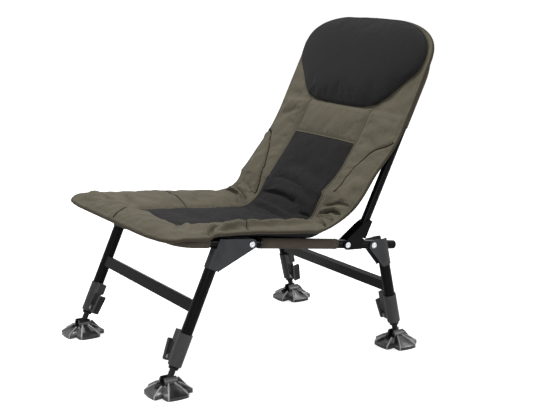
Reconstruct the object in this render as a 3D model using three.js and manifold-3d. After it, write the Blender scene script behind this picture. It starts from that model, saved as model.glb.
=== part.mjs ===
// Folding carp fishing chair: a bent tube seat frame, a reclined tube back, two folding leg frames
// with telescopic clamped legs on swivelling mud feet, and one padded mattress on a cloth sling.
// Millimetres, +Z up, the sitter faces -Y and the sitter's left is +X.
import * as THREE from 'three';
import { mergeVertices } from 'three/addons/utils/BufferGeometryUtils.js';
import Module from 'manifold-3d';

const wasm = await Module();
wasm.setup();

// Driving dimensions: the frame
const RAIL_SPACING = 432; // between the axes of the two side rails
const RAIL_DIAMETER = 20;
const RAIL_WALL = 1.5;
const RAIL_BEND_RADIUS = 38; // on the tube's axis, at the two front corners
const FRONT_PIVOT_HEIGHT = 292; // of the front legs' rivets above the ground
const FRONT_REACH = 169; // from the front rivets forward to the cross tube
const BACK_PIVOT_STATION = 251; // from the front rivets back along the rail
const REAR_PIVOT_STATION = 325;
const RAIL_END_STATION = 389;
const RAIL_TILT_DEG = 7.3; // the seat falls to the rear
const SHEET = 2; // pressed steel of the brackets
const RUNNING_GAP = 0.6; // between a bracket's cheeks and the rail that turns in them
const SEAT_GAP = 0.3; // between pieces that touch
const CAP_PLUG_LENGTH = 12; // of a rail's end cap, inside the rail
const CAP_HEAD_LENGTH = 4.5;
const CAP_ROUNDING = 3.5;
const RAIL_COLLAR_START = 22.5; // behind the front rivets
const RAIL_COLLAR_LENGTH = 5;
const RAIL_COLLAR_THICKNESS = 1.2;

// Driving dimensions: the back
const RECLINE_DEG = 108; // between the seat rails and the back
const BACK_TUBE_SETBACK = 30; // of the back tube's axis behind its rivets
const BACK_TUBE_FOOT = 29; // from the rivets up to the tube's lower end
const BACK_TUBE_TOP = 512; // from the rivets up to the top cross tube's axis
const BACK_BEND_RADIUS = 108;

// Driving dimensions: the legs
const FRONT_LEG_LEAN_DEG = 23.5; // feet forward
const REAR_LEG_LEAN_DEG = 14; // feet to the rear
const FRONT_LEG_LEAD = 70; // of the front leg's axis ahead of its rivet, along the rail
const REAR_LEG_TRAIL = 31; // of the rear leg's axis behind its rivet
const LEG_DIAMETER = 25;
const LEG_WALL = 1.2;
const INNER_LEG_DIAMETER = 21.8;
const INNER_LEG_WALL = 1.5;
const INNER_LEG_LENGTH = 176;
const CROSSBAR_HEIGHT = 25;
const CROSSBAR_DEPTH = 15;
const CROSSBAR_WALL = 1.5;
const FRONT_CROSSBAR_DROP = 142; // from the rail's axis down the leg
const REAR_CROSSBAR_DROP = 104;

// Driving dimensions: the leg clamps
const CLAMP_LENGTH = 70;
const CLAMP_DIAMETER = 29.4;
const CLAMP_SOCKET_DEPTH = 30; // of the outer leg in the clamp
const CLAMP_TO_BALL = 33; // from the clamp's lower rim to the ball's centre
const SPINE_WIDTH = 17; // of the block that carries the lever
const SPINE_REACH = 17.5; // of its waist from the leg's axis
const LUG_REACH = 30;
const LUG_HEIGHT = 20;
const LUG_RISE = 2; // above the clamp's upper rim
const LEVER_PIN_DROP = 58; // from the upper rim to the lever's pin
const LEVER_PIN_REACH = 23.5; // from the leg's axis to the pin
const LEVER_PIN_DIAMETER = 5;
const LEVER_PIN_HEAD_RADIUS = 3.8;
const LEVER_PIN_HEAD_HEIGHT = 1.2;
const LEVER_EYE_WIDTH = 10;
const LEVER_EYE_RADIUS = 7.5;
const EAR_RADIUS = 6.5;
const PADDLE_WIDTH = 15;
const PADDLE_THICKNESS = 8.5;
const PADDLE_TIP_DROP = 27; // of the paddle's upper end below the rim
const PADDLE_TIP_REACH = 44.5;
const PADDLE_HEEL_DROP = 64;
const PADDLE_HEEL_REACH = 37;

// Driving dimensions: the feet
const BALL_HEIGHT = 25; // above the ground
const BALL_DIAMETER = 20;
const NECK_DIAMETER = 13.2;
const COLLAR_HEIGHT = 3;
const PLUG_LENGTH = 16;
const FOOT_RADIUS = 49; // to a corner of a lobe
const FOOT_NOTCH_RADIUS = 42; // between two lobes
const FOOT_RIM = 6.5; // height of a lobe's outer edge
const FOOT_ARCH = 4; // that a notch's edge stands off the ground
const FOOT_SKIN = 3.5; // thickness of the moulded wings
const FOOT_EDGE_FLAT = 4; // width of the lobe's resting edge
const HUB_RADIUS = 14.5;
const HUB_HALF_LENGTH = 14;
const HUB_SKIRT_RADIUS = 15;
const HUB_SKIRT_HEIGHT = 24;
const EYELET_RADIUS = 3;
const EYELET_SETBACK = 18; // of the peg eyelet behind the ball
const EYELET_HEIGHT = 21.5;
const FIN_THICKNESS = 5;
const FIN_PEAK_SETBACK = 23.5;
const FIN_PEAK_HEIGHT = 31;
const LOBE_HALF_DEG = 27; // from a lobe's middle to its corner
const NECK_SWING_DEG = 72; // that the hub's slot lets the neck lean each way

// Driving dimensions: brackets and fasteners
const RIVET_SHANK_DIAMETER = 6;
const RIVET_HEAD_DIAMETER = 14;
const RIVET_HEAD_HEIGHT = 2.6;
const RIVET_DIMPLE_RADIUS = 2.6;
const RIVET_DIMPLE_DEPTH = 1;
const BRACKET_EAR_RADIUS = 11.5;
const FRONT_SLEEVE_LENGTH = 57; // of the bracket down the front leg
const FRONT_CHEEK_RISE = 5; // above the rail's axis at the leg
const REAR_SLEEVE_LENGTH = 48;
const REAR_CHEEK_RISE = 14;
const JOG_START = 9; // behind the leg's axis, where the cheeks step in to the rail
const JOG_END = 16;
const BACK_BRACKET_HEIGHT = 71; // from the rivets up the back tube
const BACK_BRACKET_TAIL = 47; // from the rivets back along the rail
const BACK_BRACKET_DROP = 8; // below the rail's axis
const BACK_BRACKET_WEB_CLEAR = 2.5; // of the bracket's web above the rail
const BACK_BRACKET_BEND = 3;

// Driving dimensions: cloth and padding
const SLING_THICKNESS = 1.2;
const SLING_SAG = 31;
const SLING_REAR_STATION = 226;
const FRONT_SLEEVE_END = 99; // of the sling's side sleeves ahead of the front rivets
const REAR_SLEEVE_START = 28; // of the sling's side sleeves behind the front rivets
const BACK_CLOTH_START = 292; // from the rivets up the back
const BACK_CLOTH_SAG = 14;
const CLOTH_REST = 0.5; // between the padding and what it lies on
const MATTRESS_HALF_WIDTH = 245;
const MATTRESS_EDGE = 8; // thickness of the piped edge
const SEAT_OVERHANG = 49; // of the mattress ahead of the front cross tube
const SEAT_CORNER_RADIUS = 38;
const SEAT_FRONT_DROOP = 13; // of the mattress's front edge below its rest on the tube
const SEAT_PAD_END = 150; // along the rail, where the crease begins
const SEAT_PANEL_FRONT = 112; // of the middle panel ahead of the front rivets
const SEAT_PANEL_HALF_WIDTH = 105;
const SEAT_SEAM_RISE = 9; // of the panel's front seam above the rails' axes
const SEAT_SEAM_CLIMB = 13; // of its side seams from there to the crease
const SEAT_EDGE_RISE = 30; // of the side edges above the rails' axes
const SEAT_EDGE_FALL = 16; // of the side edges from the front rivets to the front
const PAD_CROWN = 6; // of a panel above its seams
const BORDER_CROWN = 12; // of the wide border above its edge and seam
const CREASE_HANDLE_LENGTH = 56; // how far the seat's and the back's faces run on into the crease
const BACK_PAD_START = 90; // up the back, where the crease ends
const BACK_PANEL_TOP = 225;
const BACK_BAND_TOP = 301;
const BACK_PAD_TOP = 536;
const BACK_HALF_WIDTH = 240;
const BACK_PANEL_HALF_WIDTH = 135;
const HEAD_START = 430; // up the back, where the sides begin to draw in
const HEAD_TOP_HALF_WIDTH = 60;
const BACK_SEAM_THICKNESS = 18; // of the mattress at the back panel's seams
const BACK_HEAD_THICKNESS = 12; // of the mattress behind the pillow
const BACK_LEAD = 44; // of the mattress's lower end ahead of its rest on the back tube
const PILLOW_START = 313;
const PILLOW_SHOULDER = 419;
const PILLOW_TOP = 520;
const PILLOW_BORDER = 18; // that the mattress shows round the pillow
const PILLOW_FOOT_HALF_WIDTH = 60;
const PILLOW_THICKNESS = 22;
const PILLOW_EDGE = 6;

// Derived sizes
const OVERRUN = 2 * SHEET; // of every cut past the surface that it opens
const RAIL_TILT = THREE.MathUtils.degToRad(RAIL_TILT_DEG);
const BACK_TURN = THREE.MathUtils.degToRad(RECLINE_DEG) - Math.PI / 2;
const HALF_SPACING = RAIL_SPACING / 2;
const RAIL_RADIUS = RAIL_DIAMETER / 2;
const LEG_RADIUS = LEG_DIAMETER / 2;
const INNER_LEG_RADIUS = INNER_LEG_DIAMETER / 2;
const CLAMP_RADIUS = CLAMP_DIAMETER / 2;
const BALL_RADIUS = BALL_DIAMETER / 2;
const NECK_RADIUS = NECK_DIAMETER / 2;
const CHEEK_INNER = RAIL_RADIUS + RUNNING_GAP;
const CHEEK_OUTER = CHEEK_INNER + SHEET;
const SLEEVE_INNER = LEG_RADIUS + SEAT_GAP;
const SLEEVE_OUTER = SLEEVE_INNER + SHEET;
const SLING_RADIUS = RAIL_RADIUS + SEAT_GAP + SLING_THICKNESS;
const BRACKET_CLEAR = HALF_SPACING - CHEEK_OUTER - OVERRUN; // cloth and padding stay inside the brackets

// Facet counts
const TUBE_SIDES = 18;
const CLAMP_SIDES = 20;
const BEND_STEPS = 6;
const SMALL_SIDES = 14;
const ARC_STEPS = 4;
const BALL_STEPS = 6;
const FOOT_STEPS = 32;
const MERGE_TOLERANCE = 1e-4;

const steel = (color) => new THREE.MeshStandardMaterial({ color, metalness: 0.6, roughness: 0.35 });
const soft = (color) => new THREE.MeshStandardMaterial({ color, metalness: 0, roughness: 0.95 });
const plastic = (color, roughness) => new THREE.MeshStandardMaterial({ color, metalness: 0, roughness });
const materials = {
  blackPaint: steel(0x17181a),
  greyPaint: steel(0x2f3032),
  zinc: new THREE.MeshStandardMaterial({ color: 0xd8dadc, metalness: 1, roughness: 0.3 }),
  clampPlastic: plastic(0x3a3b3d, 0.6),
  leverPlastic: plastic(0x1d1e20, 0.5),
  footPlastic: plastic(0x222325, 0.2),
  slingCloth: soft(0x4a443d),
  oliveCloth: soft(0x5f5c4e),
  blackCloth: soft(0x26272a),
};

// Solids and meshes
function toSolid(geometry) {
  const bare = geometry.index ? geometry.toNonIndexed() : geometry.clone();
  bare.deleteAttribute('normal');
  bare.deleteAttribute('uv');
  const merged = mergeVertices(bare, MERGE_TOLERANCE);
  return new wasm.Manifold(new wasm.Mesh({
    numProp: 3,
    vertProperties: new Float32Array(merged.attributes.position.array),
    triVerts: new Uint32Array(merged.index.array),
  }));
}

function toGeometry(solid) {
  const mesh = solid.getMesh();
  const geometry = new THREE.BufferGeometry();
  geometry.setAttribute('position', new THREE.BufferAttribute(new Float32Array(mesh.vertProperties), 3));
  geometry.setIndex(new THREE.BufferAttribute(new Uint32Array(mesh.triVerts), 1));
  geometry.computeVertexNormals();
  return geometry;
}

function addPiece(parent, name, solid, material) {
  const mesh = new THREE.Mesh(toGeometry(solid), material);
  mesh.name = name;
  parent.add(mesh);
  return mesh;
}

// A turn and a shift, applied to a geometry
function placed(geometry, { x = 0, y = 0, z = 0, turnX = 0, turnY = 0, turnZ = 0 }) {
  const turn = new THREE.Euler(turnX, turnY, turnZ);
  const matrix = new THREE.Matrix4().makeRotationFromEuler(turn).setPosition(x, y, z);
  return geometry.applyMatrix4(matrix);
}

// An outline in Y and Z, spread along X from -halfWidth to +halfWidth
function sideExtrusion(shape, halfWidth) {
  const geometry = new THREE.ExtrudeGeometry(shape, {
    depth: 2 * halfWidth, bevelEnabled: false, curveSegments: ARC_STEPS,
  });
  const axes = new THREE.Matrix4().makeBasis(
    new THREE.Vector3(0, 1, 0), new THREE.Vector3(0, 0, 1), new THREE.Vector3(1, 0, 0),
  );
  return geometry.applyMatrix4(axes.setPosition(-halfWidth, 0, 0));
}

// An outline in X and Z, spread along Y from -halfWidth to +halfWidth
function frontExtrusion(shape, halfWidth) {
  const geometry = new THREE.ExtrudeGeometry(shape, {
    depth: 2 * halfWidth, bevelEnabled: false, curveSegments: ARC_STEPS,
  });
  return placed(geometry, { y: halfWidth, turnX: Math.PI / 2 });
}

// An outline in X and Y, raised along Z from low to high
function raisedExtrusion(shape, low, high, curveSegments = ARC_STEPS) {
  const settings = { depth: high - low, bevelEnabled: false, curveSegments };
  const geometry = new THREE.ExtrudeGeometry(shape, settings);
  return placed(geometry, { z: low });
}

function box(low, high) {
  const size = new THREE.Vector3().subVectors(high, low);
  const middle = new THREE.Vector3().addVectors(low, high).multiplyScalar(1 / 2);
  const geometry = new THREE.BoxGeometry(size.x, size.y, size.z);
  return placed(geometry, { x: middle.x, y: middle.y, z: middle.z });
}

// A round bar along X, Y or Z between two places on that axis
function rod(axis, radius, low, high, sides = SMALL_SIDES) {
  const geometry = new THREE.CylinderGeometry(radius, radius, high - low, sides);
  const middle = (low + high) / 2;
  if (axis === 'x') return placed(geometry, { x: middle, turnZ: Math.PI / 2 });
  if (axis === 'y') return placed(geometry, { y: middle });
  return placed(geometry, { z: middle, turnX: Math.PI / 2 });
}

// A turned piece with its axis along Z, from a closed outline of [radius, height] points
function turned(points, sides) {
  const outline = points.map(([radius, height]) => new THREE.Vector2(radius, height));
  return placed(new THREE.LatheGeometry(outline, sides), { turnX: Math.PI / 2 });
}

function ringShape(outer, inner) {
  const shape = new THREE.Shape().absarc(0, 0, outer, 0, 2 * Math.PI, false);
  shape.holes.push(new THREE.Path().absarc(0, 0, inner, 0, 2 * Math.PI, true));
  return shape;
}

// The outline round two circles and the lines that touch both
function capsuleShape(a, radiusA, b, radiusB) {
  const heading = Math.atan2(b.y - a.y, b.x - a.x);
  const reach = Math.hypot(b.x - a.x, b.y - a.y);
  const slant = Math.acos((radiusA - radiusB) / reach);
  const shape = new THREE.Shape();
  shape.absarc(b.x, b.y, radiusB, heading - slant, heading + slant, false);
  shape.absarc(a.x, a.y, radiusA, heading + slant, heading - slant + 2 * Math.PI, false);
  return shape;
}

// The angle at which a line from a point touches a circle, on its left (1) or right (-1) side
function touchAngle(point, centre, radius, side) {
  const back = Math.atan2(point.y - centre.y, point.x - centre.x);
  const reach = Math.hypot(point.x - centre.x, point.y - centre.y);
  return back - side * Math.acos(radius / reach);
}

// A path whose steps are the listed points, so straight runs take one step and bends take several
class StationPath extends THREE.Curve {
  constructor(points) {
    super();
    this.points = points;
  }

  getPoint(share, target = new THREE.Vector3()) {
    const place = THREE.MathUtils.clamp(share, 0, 1) * (this.points.length - 1);
    const index = Math.min(Math.floor(place), this.points.length - 2);
    return target.lerpVectors(this.points[index], this.points[index + 1], place - index);
  }

  getUtoTmapping(share) {
    return share;
  }
}

function tubeAlong(points, outer, inner, sides = TUBE_SIDES) {
  const ring = ringShape(outer, inner);
  return new THREE.ExtrudeGeometry(ring, {
    steps: points.length - 1,
    curveSegments: sides / 2,
    extrudePath: new StationPath(points),
  });
}

// The axis of a hoop in the plane of X and one other direction: two side runs and a cross run
function hoopPoints(footPlace, crossPlace, bendRadius, place) {
  const forward = Math.sign(crossPlace - footPlace);
  const bendStart = crossPlace - forward * bendRadius;
  const bendX = HALF_SPACING - bendRadius;
  const half = [place(HALF_SPACING, footPlace)];
  for (let step = 0; step <= BEND_STEPS; step += 1) {
    const angle = (step / BEND_STEPS) * Math.PI / 2;
    const x = bendX + bendRadius * Math.cos(angle);
    half.push(place(x, bendStart + forward * bendRadius * Math.sin(angle)));
  }
  const mirrored = half.map((point) => new THREE.Vector3(-point.x, point.y, point.z)).reverse();
  return [...half, ...mirrored];
}

// Frames: each group carries the pieces whose sizes are measured in it
const chair = new THREE.Group();
const seatFrame = new THREE.Group();
seatFrame.position.z = FRONT_PIVOT_HEIGHT;
seatFrame.rotation.x = -RAIL_TILT;
chair.add(seatFrame);

const backFrame = new THREE.Group();
backFrame.position.y = BACK_PIVOT_STATION;
backFrame.rotation.x = -BACK_TURN;
seatFrame.add(backFrame);

const sides = [['left', 1], ['right', -1]];

// Seat frame: one bent tube with cross holes for the six rivets, and a plug in each rear end
function makeSeatTube() {
  const onRails = (x, y) => new THREE.Vector3(x, y, 0);
  const points = hoopPoints(RAIL_END_STATION, -FRONT_REACH, RAIL_BEND_RADIUS, onRails);
  let tube = toSolid(tubeAlong(points, RAIL_RADIUS, RAIL_RADIUS - RAIL_WALL));
  const holeRadius = RIVET_SHANK_DIAMETER / 2 + SEAT_GAP;
  const reach = HALF_SPACING + RAIL_RADIUS + OVERRUN;
  for (const station of [0, BACK_PIVOT_STATION, REAR_PIVOT_STATION]) {
    tube = tube.subtract(toSolid(placed(rod('x', holeRadius, -reach, reach), { y: station })));
  }
  addPiece(seatFrame, 'seat_tube', tube, materials.blackPaint);
}

function makeRailEndCaps() {
  const plugRadius = RAIL_RADIUS - RAIL_WALL - SEAT_GAP;
  const profile = [
    [0, -CAP_PLUG_LENGTH],
    [plugRadius, -CAP_PLUG_LENGTH],
    [plugRadius, SEAT_GAP],
    [RAIL_RADIUS, SEAT_GAP],
  ];
  for (let step = 0; step <= ARC_STEPS; step += 1) {
    const angle = (step / ARC_STEPS) * Math.PI / 2;
    const radius = RAIL_RADIUS - CAP_ROUNDING * (1 - Math.cos(angle));
    profile.push([radius, CAP_HEAD_LENGTH - CAP_ROUNDING * (1 - Math.sin(angle))]);
  }
  profile.push([0, CAP_HEAD_LENGTH]);
  for (const [side, sign] of sides) {
    const cap = placed(turned(profile, TUBE_SIDES), { turnX: -Math.PI / 2 });
    placed(cap, { x: sign * HALF_SPACING, y: RAIL_END_STATION });
    addPiece(seatFrame, `rail_end_cap_${side}`, toSolid(cap), materials.leverPlastic);
  }
}

// Collars hold the front end of the sling's sleeves on the rails
function makeRailCollars() {
  const inner = RAIL_RADIUS + SEAT_GAP;
  const outer = inner + RAIL_COLLAR_THICKNESS;
  const ring = raisedExtrusion(ringShape(outer, inner), 0, RAIL_COLLAR_LENGTH, TUBE_SIDES / 2);
  placed(ring, { turnX: -Math.PI / 2 });
  for (const [side, sign] of sides) {
    const collar = placed(ring.clone(), { x: sign * HALF_SPACING, y: RAIL_COLLAR_START });
    addPiece(seatFrame, `rail_collar_${side}`, toSolid(collar), materials.leverPlastic);
  }
}

// Rivets: a shank with two domed heads, each with a turned-over dimple
function rivetSolid(gripHalf) {
  const shank = RIVET_SHANK_DIAMETER / 2;
  const head = RIVET_HEAD_DIAMETER / 2;
  const inner = gripHalf + SEAT_GAP;
  const outer = inner + RIVET_HEAD_HEIGHT;
  const shoulderShare = 0.45;
  const crownShare = 0.72;
  const half = [
    [shank, inner],
    [head, inner],
    [head, inner + RIVET_HEAD_HEIGHT * shoulderShare],
    [head * crownShare, outer],
    [RIVET_DIMPLE_RADIUS, outer],
    [RIVET_DIMPLE_RADIUS / 2, outer - RIVET_DIMPLE_DEPTH],
  ];
  const lower = half.map(([radius, height]) => [radius, -height]).reverse();
  const dimpleFloor = outer - RIVET_DIMPLE_DEPTH;
  const profile = [[0, -dimpleFloor], ...lower, ...half, [0, dimpleFloor]];
  return placed(turned(profile, SMALL_SIDES), { turnY: Math.PI / 2 });
}

function addRivets(prefix, station) {
  for (const [side, sign] of sides) {
    const rivet = placed(rivetSolid(CHEEK_OUTER), { x: sign * HALF_SPACING, y: station });
    addPiece(seatFrame, `${prefix}_${side}`, toSolid(rivet), materials.zinc);
  }
}

// Back: one bent tube held at its two feet by folded brackets that straddle the rails
function makeBackTube() {
  const place = (x, z) => new THREE.Vector3(x, BACK_TUBE_SETBACK, z);
  const points = hoopPoints(BACK_TUBE_FOOT, BACK_TUBE_TOP, BACK_BEND_RADIUS, place);
  const tube = tubeAlong(points, RAIL_RADIUS, RAIL_RADIUS - RAIL_WALL);
  addPiece(backFrame, 'backrest_tube', toSolid(tube), materials.blackPaint);
}

// The back bracket is a square channel: its web runs down behind the tube and stops above the rail
function makeBackBrackets() {
  const webInner = BACK_TUBE_SETBACK + RAIL_RADIUS + SEAT_GAP;
  const webOuter = webInner + SHEET;
  const frontReach = BACK_BRACKET_TAIL;
  const channel = new THREE.Shape();
  channel.moveTo(CHEEK_OUTER, -frontReach);
  channel.lineTo(CHEEK_OUTER, webOuter - BACK_BRACKET_BEND);
  const bendX = CHEEK_OUTER - BACK_BRACKET_BEND;
  channel.absarc(bendX, webOuter - BACK_BRACKET_BEND, BACK_BRACKET_BEND, 0, Math.PI / 2, false);
  channel.absarc(-CHEEK_OUTER + BACK_BRACKET_BEND, webOuter - BACK_BRACKET_BEND, BACK_BRACKET_BEND,
    Math.PI / 2, Math.PI, false);
  channel.lineTo(-CHEEK_OUTER, -frontReach);
  channel.lineTo(-CHEEK_INNER, -frontReach);
  channel.lineTo(-CHEEK_INNER, webInner);
  channel.lineTo(CHEEK_INNER, webInner);
  channel.lineTo(CHEEK_INNER, -frontReach);
  const low = -BACK_BRACKET_TAIL;

  // Along the rail, seen in the back's own frame
  const onRail = (along, above) => new THREE.Vector2(
    along * Math.cos(BACK_TURN) - above * Math.sin(BACK_TURN),
    along * Math.sin(BACK_TURN) + above * Math.cos(BACK_TURN),
  );
  const pivot = new THREE.Vector2(0, 0);
  const tailLow = onRail(BACK_BRACKET_TAIL, -BACK_BRACKET_DROP);
  const tailHigh = onRail(BACK_BRACKET_TAIL, BRACKET_EAR_RADIUS);
  const notch = new THREE.Vector2(webOuter - BRACKET_EAR_RADIUS, 0);
  notch.y = tailHigh.y + SHEET;
  const top = BACK_BRACKET_HEIGHT;
  const chin = new THREE.Vector2(BACK_TUBE_SETBACK - RAIL_RADIUS - SHEET, top - BACK_TUBE_SETBACK / 2);
  const ear = BRACKET_EAR_RADIUS - SEAT_GAP;
  const upper = touchAngle(chin, pivot, ear, -1);
  const lower = touchAngle(tailLow, pivot, ear, 1);
  const outline = new THREE.Shape();
  outline.moveTo(tailLow.x, tailLow.y);
  outline.lineTo(tailHigh.x, tailHigh.y);
  outline.lineTo(notch.x, notch.y);
  outline.lineTo(webOuter + OVERRUN, notch.y + SHEET);
  outline.lineTo(webOuter + OVERRUN, top);
  outline.lineTo(BACK_TUBE_SETBACK, top);
  outline.lineTo(chin.x, chin.y);
  outline.absarc(0, 0, ear, upper, lower, false);

  for (const [side, sign] of sides) {
    let bracket = toSolid(raisedExtrusion(channel, low, top + OVERRUN));
    bracket = bracket.intersect(toSolid(sideExtrusion(outline, CHEEK_OUTER + OVERRUN)));
    const railClear = RAIL_RADIUS + BACK_BRACKET_WEB_CLEAR;
    const slot = box(
      new THREE.Vector3(-CHEEK_INNER, -2 * BACK_BRACKET_TAIL, -2 * BACK_BRACKET_TAIL),
      new THREE.Vector3(CHEEK_INNER, 2 * BACK_BRACKET_TAIL, railClear),
    );
    bracket = bracket.subtract(toSolid(placed(slot, { turnX: BACK_TURN })));
    bracket = bracket.subtract(rivetHole());
    const geometry = toGeometry(bracket);
    placed(geometry, { x: sign * HALF_SPACING });
    addPiece(backFrame, `backrest_bracket_${side}`, toSolid(geometry), materials.greyPaint);
  }
}

function rivetHole(y = 0, z = 0) {
  const radius = RIVET_SHANK_DIAMETER / 2 + SEAT_GAP;
  const reach = CHEEK_OUTER + OVERRUN;
  return toSolid(placed(rod('x', radius, -reach, reach), { y, z }));
}

// Legs: each frame measures from where the leg's axis meets the rail's, +Z up the leg
function legGroup(station, lean, sign) {
  const group = new THREE.Group();
  group.position.set(sign * HALF_SPACING, station, 0);
  group.rotation.x = lean;
  seatFrame.add(group);
  return group;
}

const legSets = [
  {
    name: 'front',
    station: -FRONT_LEG_LEAD,
    lean: RAIL_TILT - THREE.MathUtils.degToRad(FRONT_LEG_LEAN_DEG),
    leanFromVertical: THREE.MathUtils.degToRad(FRONT_LEG_LEAN_DEG),
    pivotAhead: FRONT_LEG_LEAD,
    barDrop: FRONT_CROSSBAR_DROP,
    sleeve: FRONT_SLEEVE_LENGTH,
    cheekRise: FRONT_CHEEK_RISE,
  },
  {
    name: 'rear',
    station: REAR_PIVOT_STATION + REAR_LEG_TRAIL,
    lean: RAIL_TILT + THREE.MathUtils.degToRad(REAR_LEG_LEAN_DEG),
    leanFromVertical: THREE.MathUtils.degToRad(REAR_LEG_LEAN_DEG),
    pivotAhead: -REAR_LEG_TRAIL,
    barDrop: REAR_CROSSBAR_DROP,
    sleeve: REAR_SLEEVE_LENGTH,
    cheekRise: REAR_CHEEK_RISE,
  },
];

// From the rail's axis down the leg to the ball in the foot
function legReach(legSet) {
  const top = FRONT_PIVOT_HEIGHT - legSet.station * Math.sin(RAIL_TILT);
  return (top - BALL_HEIGHT) / Math.cos(legSet.leanFromVertical);
}

// The part of space above the rail's underside, in a leg's frame
function aboveRailUnderside(legSet, halfWidth, gap) {
  const far = 2 * FRONT_LEG_LEAD + 2 * RAIL_DIAMETER;
  const slab = box(
    new THREE.Vector3(-halfWidth, -far, -RAIL_RADIUS - gap),
    new THREE.Vector3(halfWidth, far, far),
  );
  return toSolid(placed(slab, { turnX: -legSet.lean }));
}

function makeLegTube(legSet, group, side) {
  const end = -(legReach(legSet) - CLAMP_TO_BALL - CLAMP_LENGTH + CLAMP_SOCKET_DEPTH);
  const ring = ringShape(LEG_RADIUS, LEG_RADIUS - LEG_WALL);
  let tube = toSolid(raisedExtrusion(ring, end, 0, TUBE_SIDES / 2));
  tube = tube.subtract(aboveRailUnderside(legSet, LEG_DIAMETER, SEAT_GAP));
  addPiece(group, `${legSet.name}_leg_tube_${side}`, tube, materials.blackPaint);
}

// The leg bracket wraps the leg as a half sleeve, steps in to the rail and straddles its rivet
function makeLegBracket(legSet, group, side) {
  const toward = Math.sign(legSet.pivotAhead);
  const pivot = new THREE.Vector2(
    Math.abs(legSet.pivotAhead) * Math.cos(legSet.lean),
    -legSet.pivotAhead * Math.sin(legSet.lean),
  );
  const reach = pivot.x + BRACKET_EAR_RADIUS + OVERRUN;
  const wrap = new THREE.Shape();
  wrap.moveTo(SLEEVE_OUTER, 0);
  wrap.lineTo(SLEEVE_OUTER, JOG_START);
  wrap.lineTo(CHEEK_OUTER, JOG_END);
  wrap.lineTo(CHEEK_OUTER, reach);
  wrap.lineTo(CHEEK_INNER, reach);
  wrap.lineTo(CHEEK_INNER, JOG_END);
  wrap.lineTo(SLEEVE_INNER, JOG_START);
  wrap.lineTo(SLEEVE_INNER, 0);
  wrap.absarc(0, 0, SLEEVE_INNER, 0, -Math.PI, true);
  wrap.lineTo(-SLEEVE_INNER, JOG_START);
  wrap.lineTo(-CHEEK_INNER, JOG_END);
  wrap.lineTo(-CHEEK_INNER, reach);
  wrap.lineTo(-CHEEK_OUTER, reach);
  wrap.lineTo(-CHEEK_OUTER, JOG_END);
  wrap.lineTo(-SLEEVE_OUTER, JOG_START);
  wrap.lineTo(-SLEEVE_OUTER, 0);
  wrap.absarc(0, 0, SLEEVE_OUTER, -Math.PI, 0, false);
  const top = pivot.y + 2 * BRACKET_EAR_RADIUS;
  let bracket = toSolid(raisedExtrusion(wrap, -legSet.sleeve, top));

  const highBack = new THREE.Vector2(-SLEEVE_OUTER - OVERRUN, legSet.cheekRise);
  const lowFront = new THREE.Vector2(LEG_RADIUS, -legSet.sleeve);
  const upper = touchAngle(highBack, pivot, BRACKET_EAR_RADIUS, 1);
  const lower = touchAngle(lowFront, pivot, BRACKET_EAR_RADIUS, -1);
  const outline = new THREE.Shape();
  outline.moveTo(-SLEEVE_OUTER - OVERRUN, -legSet.sleeve);
  outline.lineTo(lowFront.x, lowFront.y);
  outline.absarc(pivot.x, pivot.y, BRACKET_EAR_RADIUS, lower, upper, false);
  outline.lineTo(highBack.x, highBack.y);
  bracket = bracket.intersect(toSolid(sideExtrusion(outline, SLEEVE_OUTER + OVERRUN)));
  bracket = bracket.subtract(rivetHole(pivot.x, pivot.y));
  const turned = placed(toGeometry(bracket), { turnZ: toward > 0 ? 0 : Math.PI });
  const clear = aboveRailUnderside(legSet, CHEEK_INNER, RUNNING_GAP);
  bracket = toSolid(turned).subtract(clear);
  addPiece(group, `${legSet.name}_leg_bracket_${side}`, bracket, materials.greyPaint);
}

// A crossbar is a rectangular tube whose ends are coped to the round legs
function makeCrossbar(legSet) {
  const group = legGroup(legSet.station, legSet.lean, 0);
  const half = HALF_SPACING - LEG_RADIUS / 2;
  const outer = box(
    new THREE.Vector3(-half, -CROSSBAR_DEPTH / 2, -legSet.barDrop - CROSSBAR_HEIGHT / 2),
    new THREE.Vector3(half, CROSSBAR_DEPTH / 2, -legSet.barDrop + CROSSBAR_HEIGHT / 2),
  );
  const inset = CROSSBAR_WALL;
  const insideHalf = CROSSBAR_HEIGHT / 2 - inset;
  const bore = box(
    new THREE.Vector3(-half - OVERRUN, inset - CROSSBAR_DEPTH / 2, -legSet.barDrop - insideHalf),
    new THREE.Vector3(half + OVERRUN, CROSSBAR_DEPTH / 2 - inset, -legSet.barDrop + insideHalf),
  );
  let bar = toSolid(outer).subtract(toSolid(bore));
  for (const [, sign] of sides) {
    const low = -legSet.barDrop - CROSSBAR_HEIGHT;
    const cope = rod('z', LEG_RADIUS + SEAT_GAP, low, low + 2 * CROSSBAR_HEIGHT, TUBE_SIDES);
    bar = bar.subtract(toSolid(placed(cope, { x: sign * HALF_SPACING })));
  }
  addPiece(group, `${legSet.name}_crossbar`, bar, materials.blackPaint);
}

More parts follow.
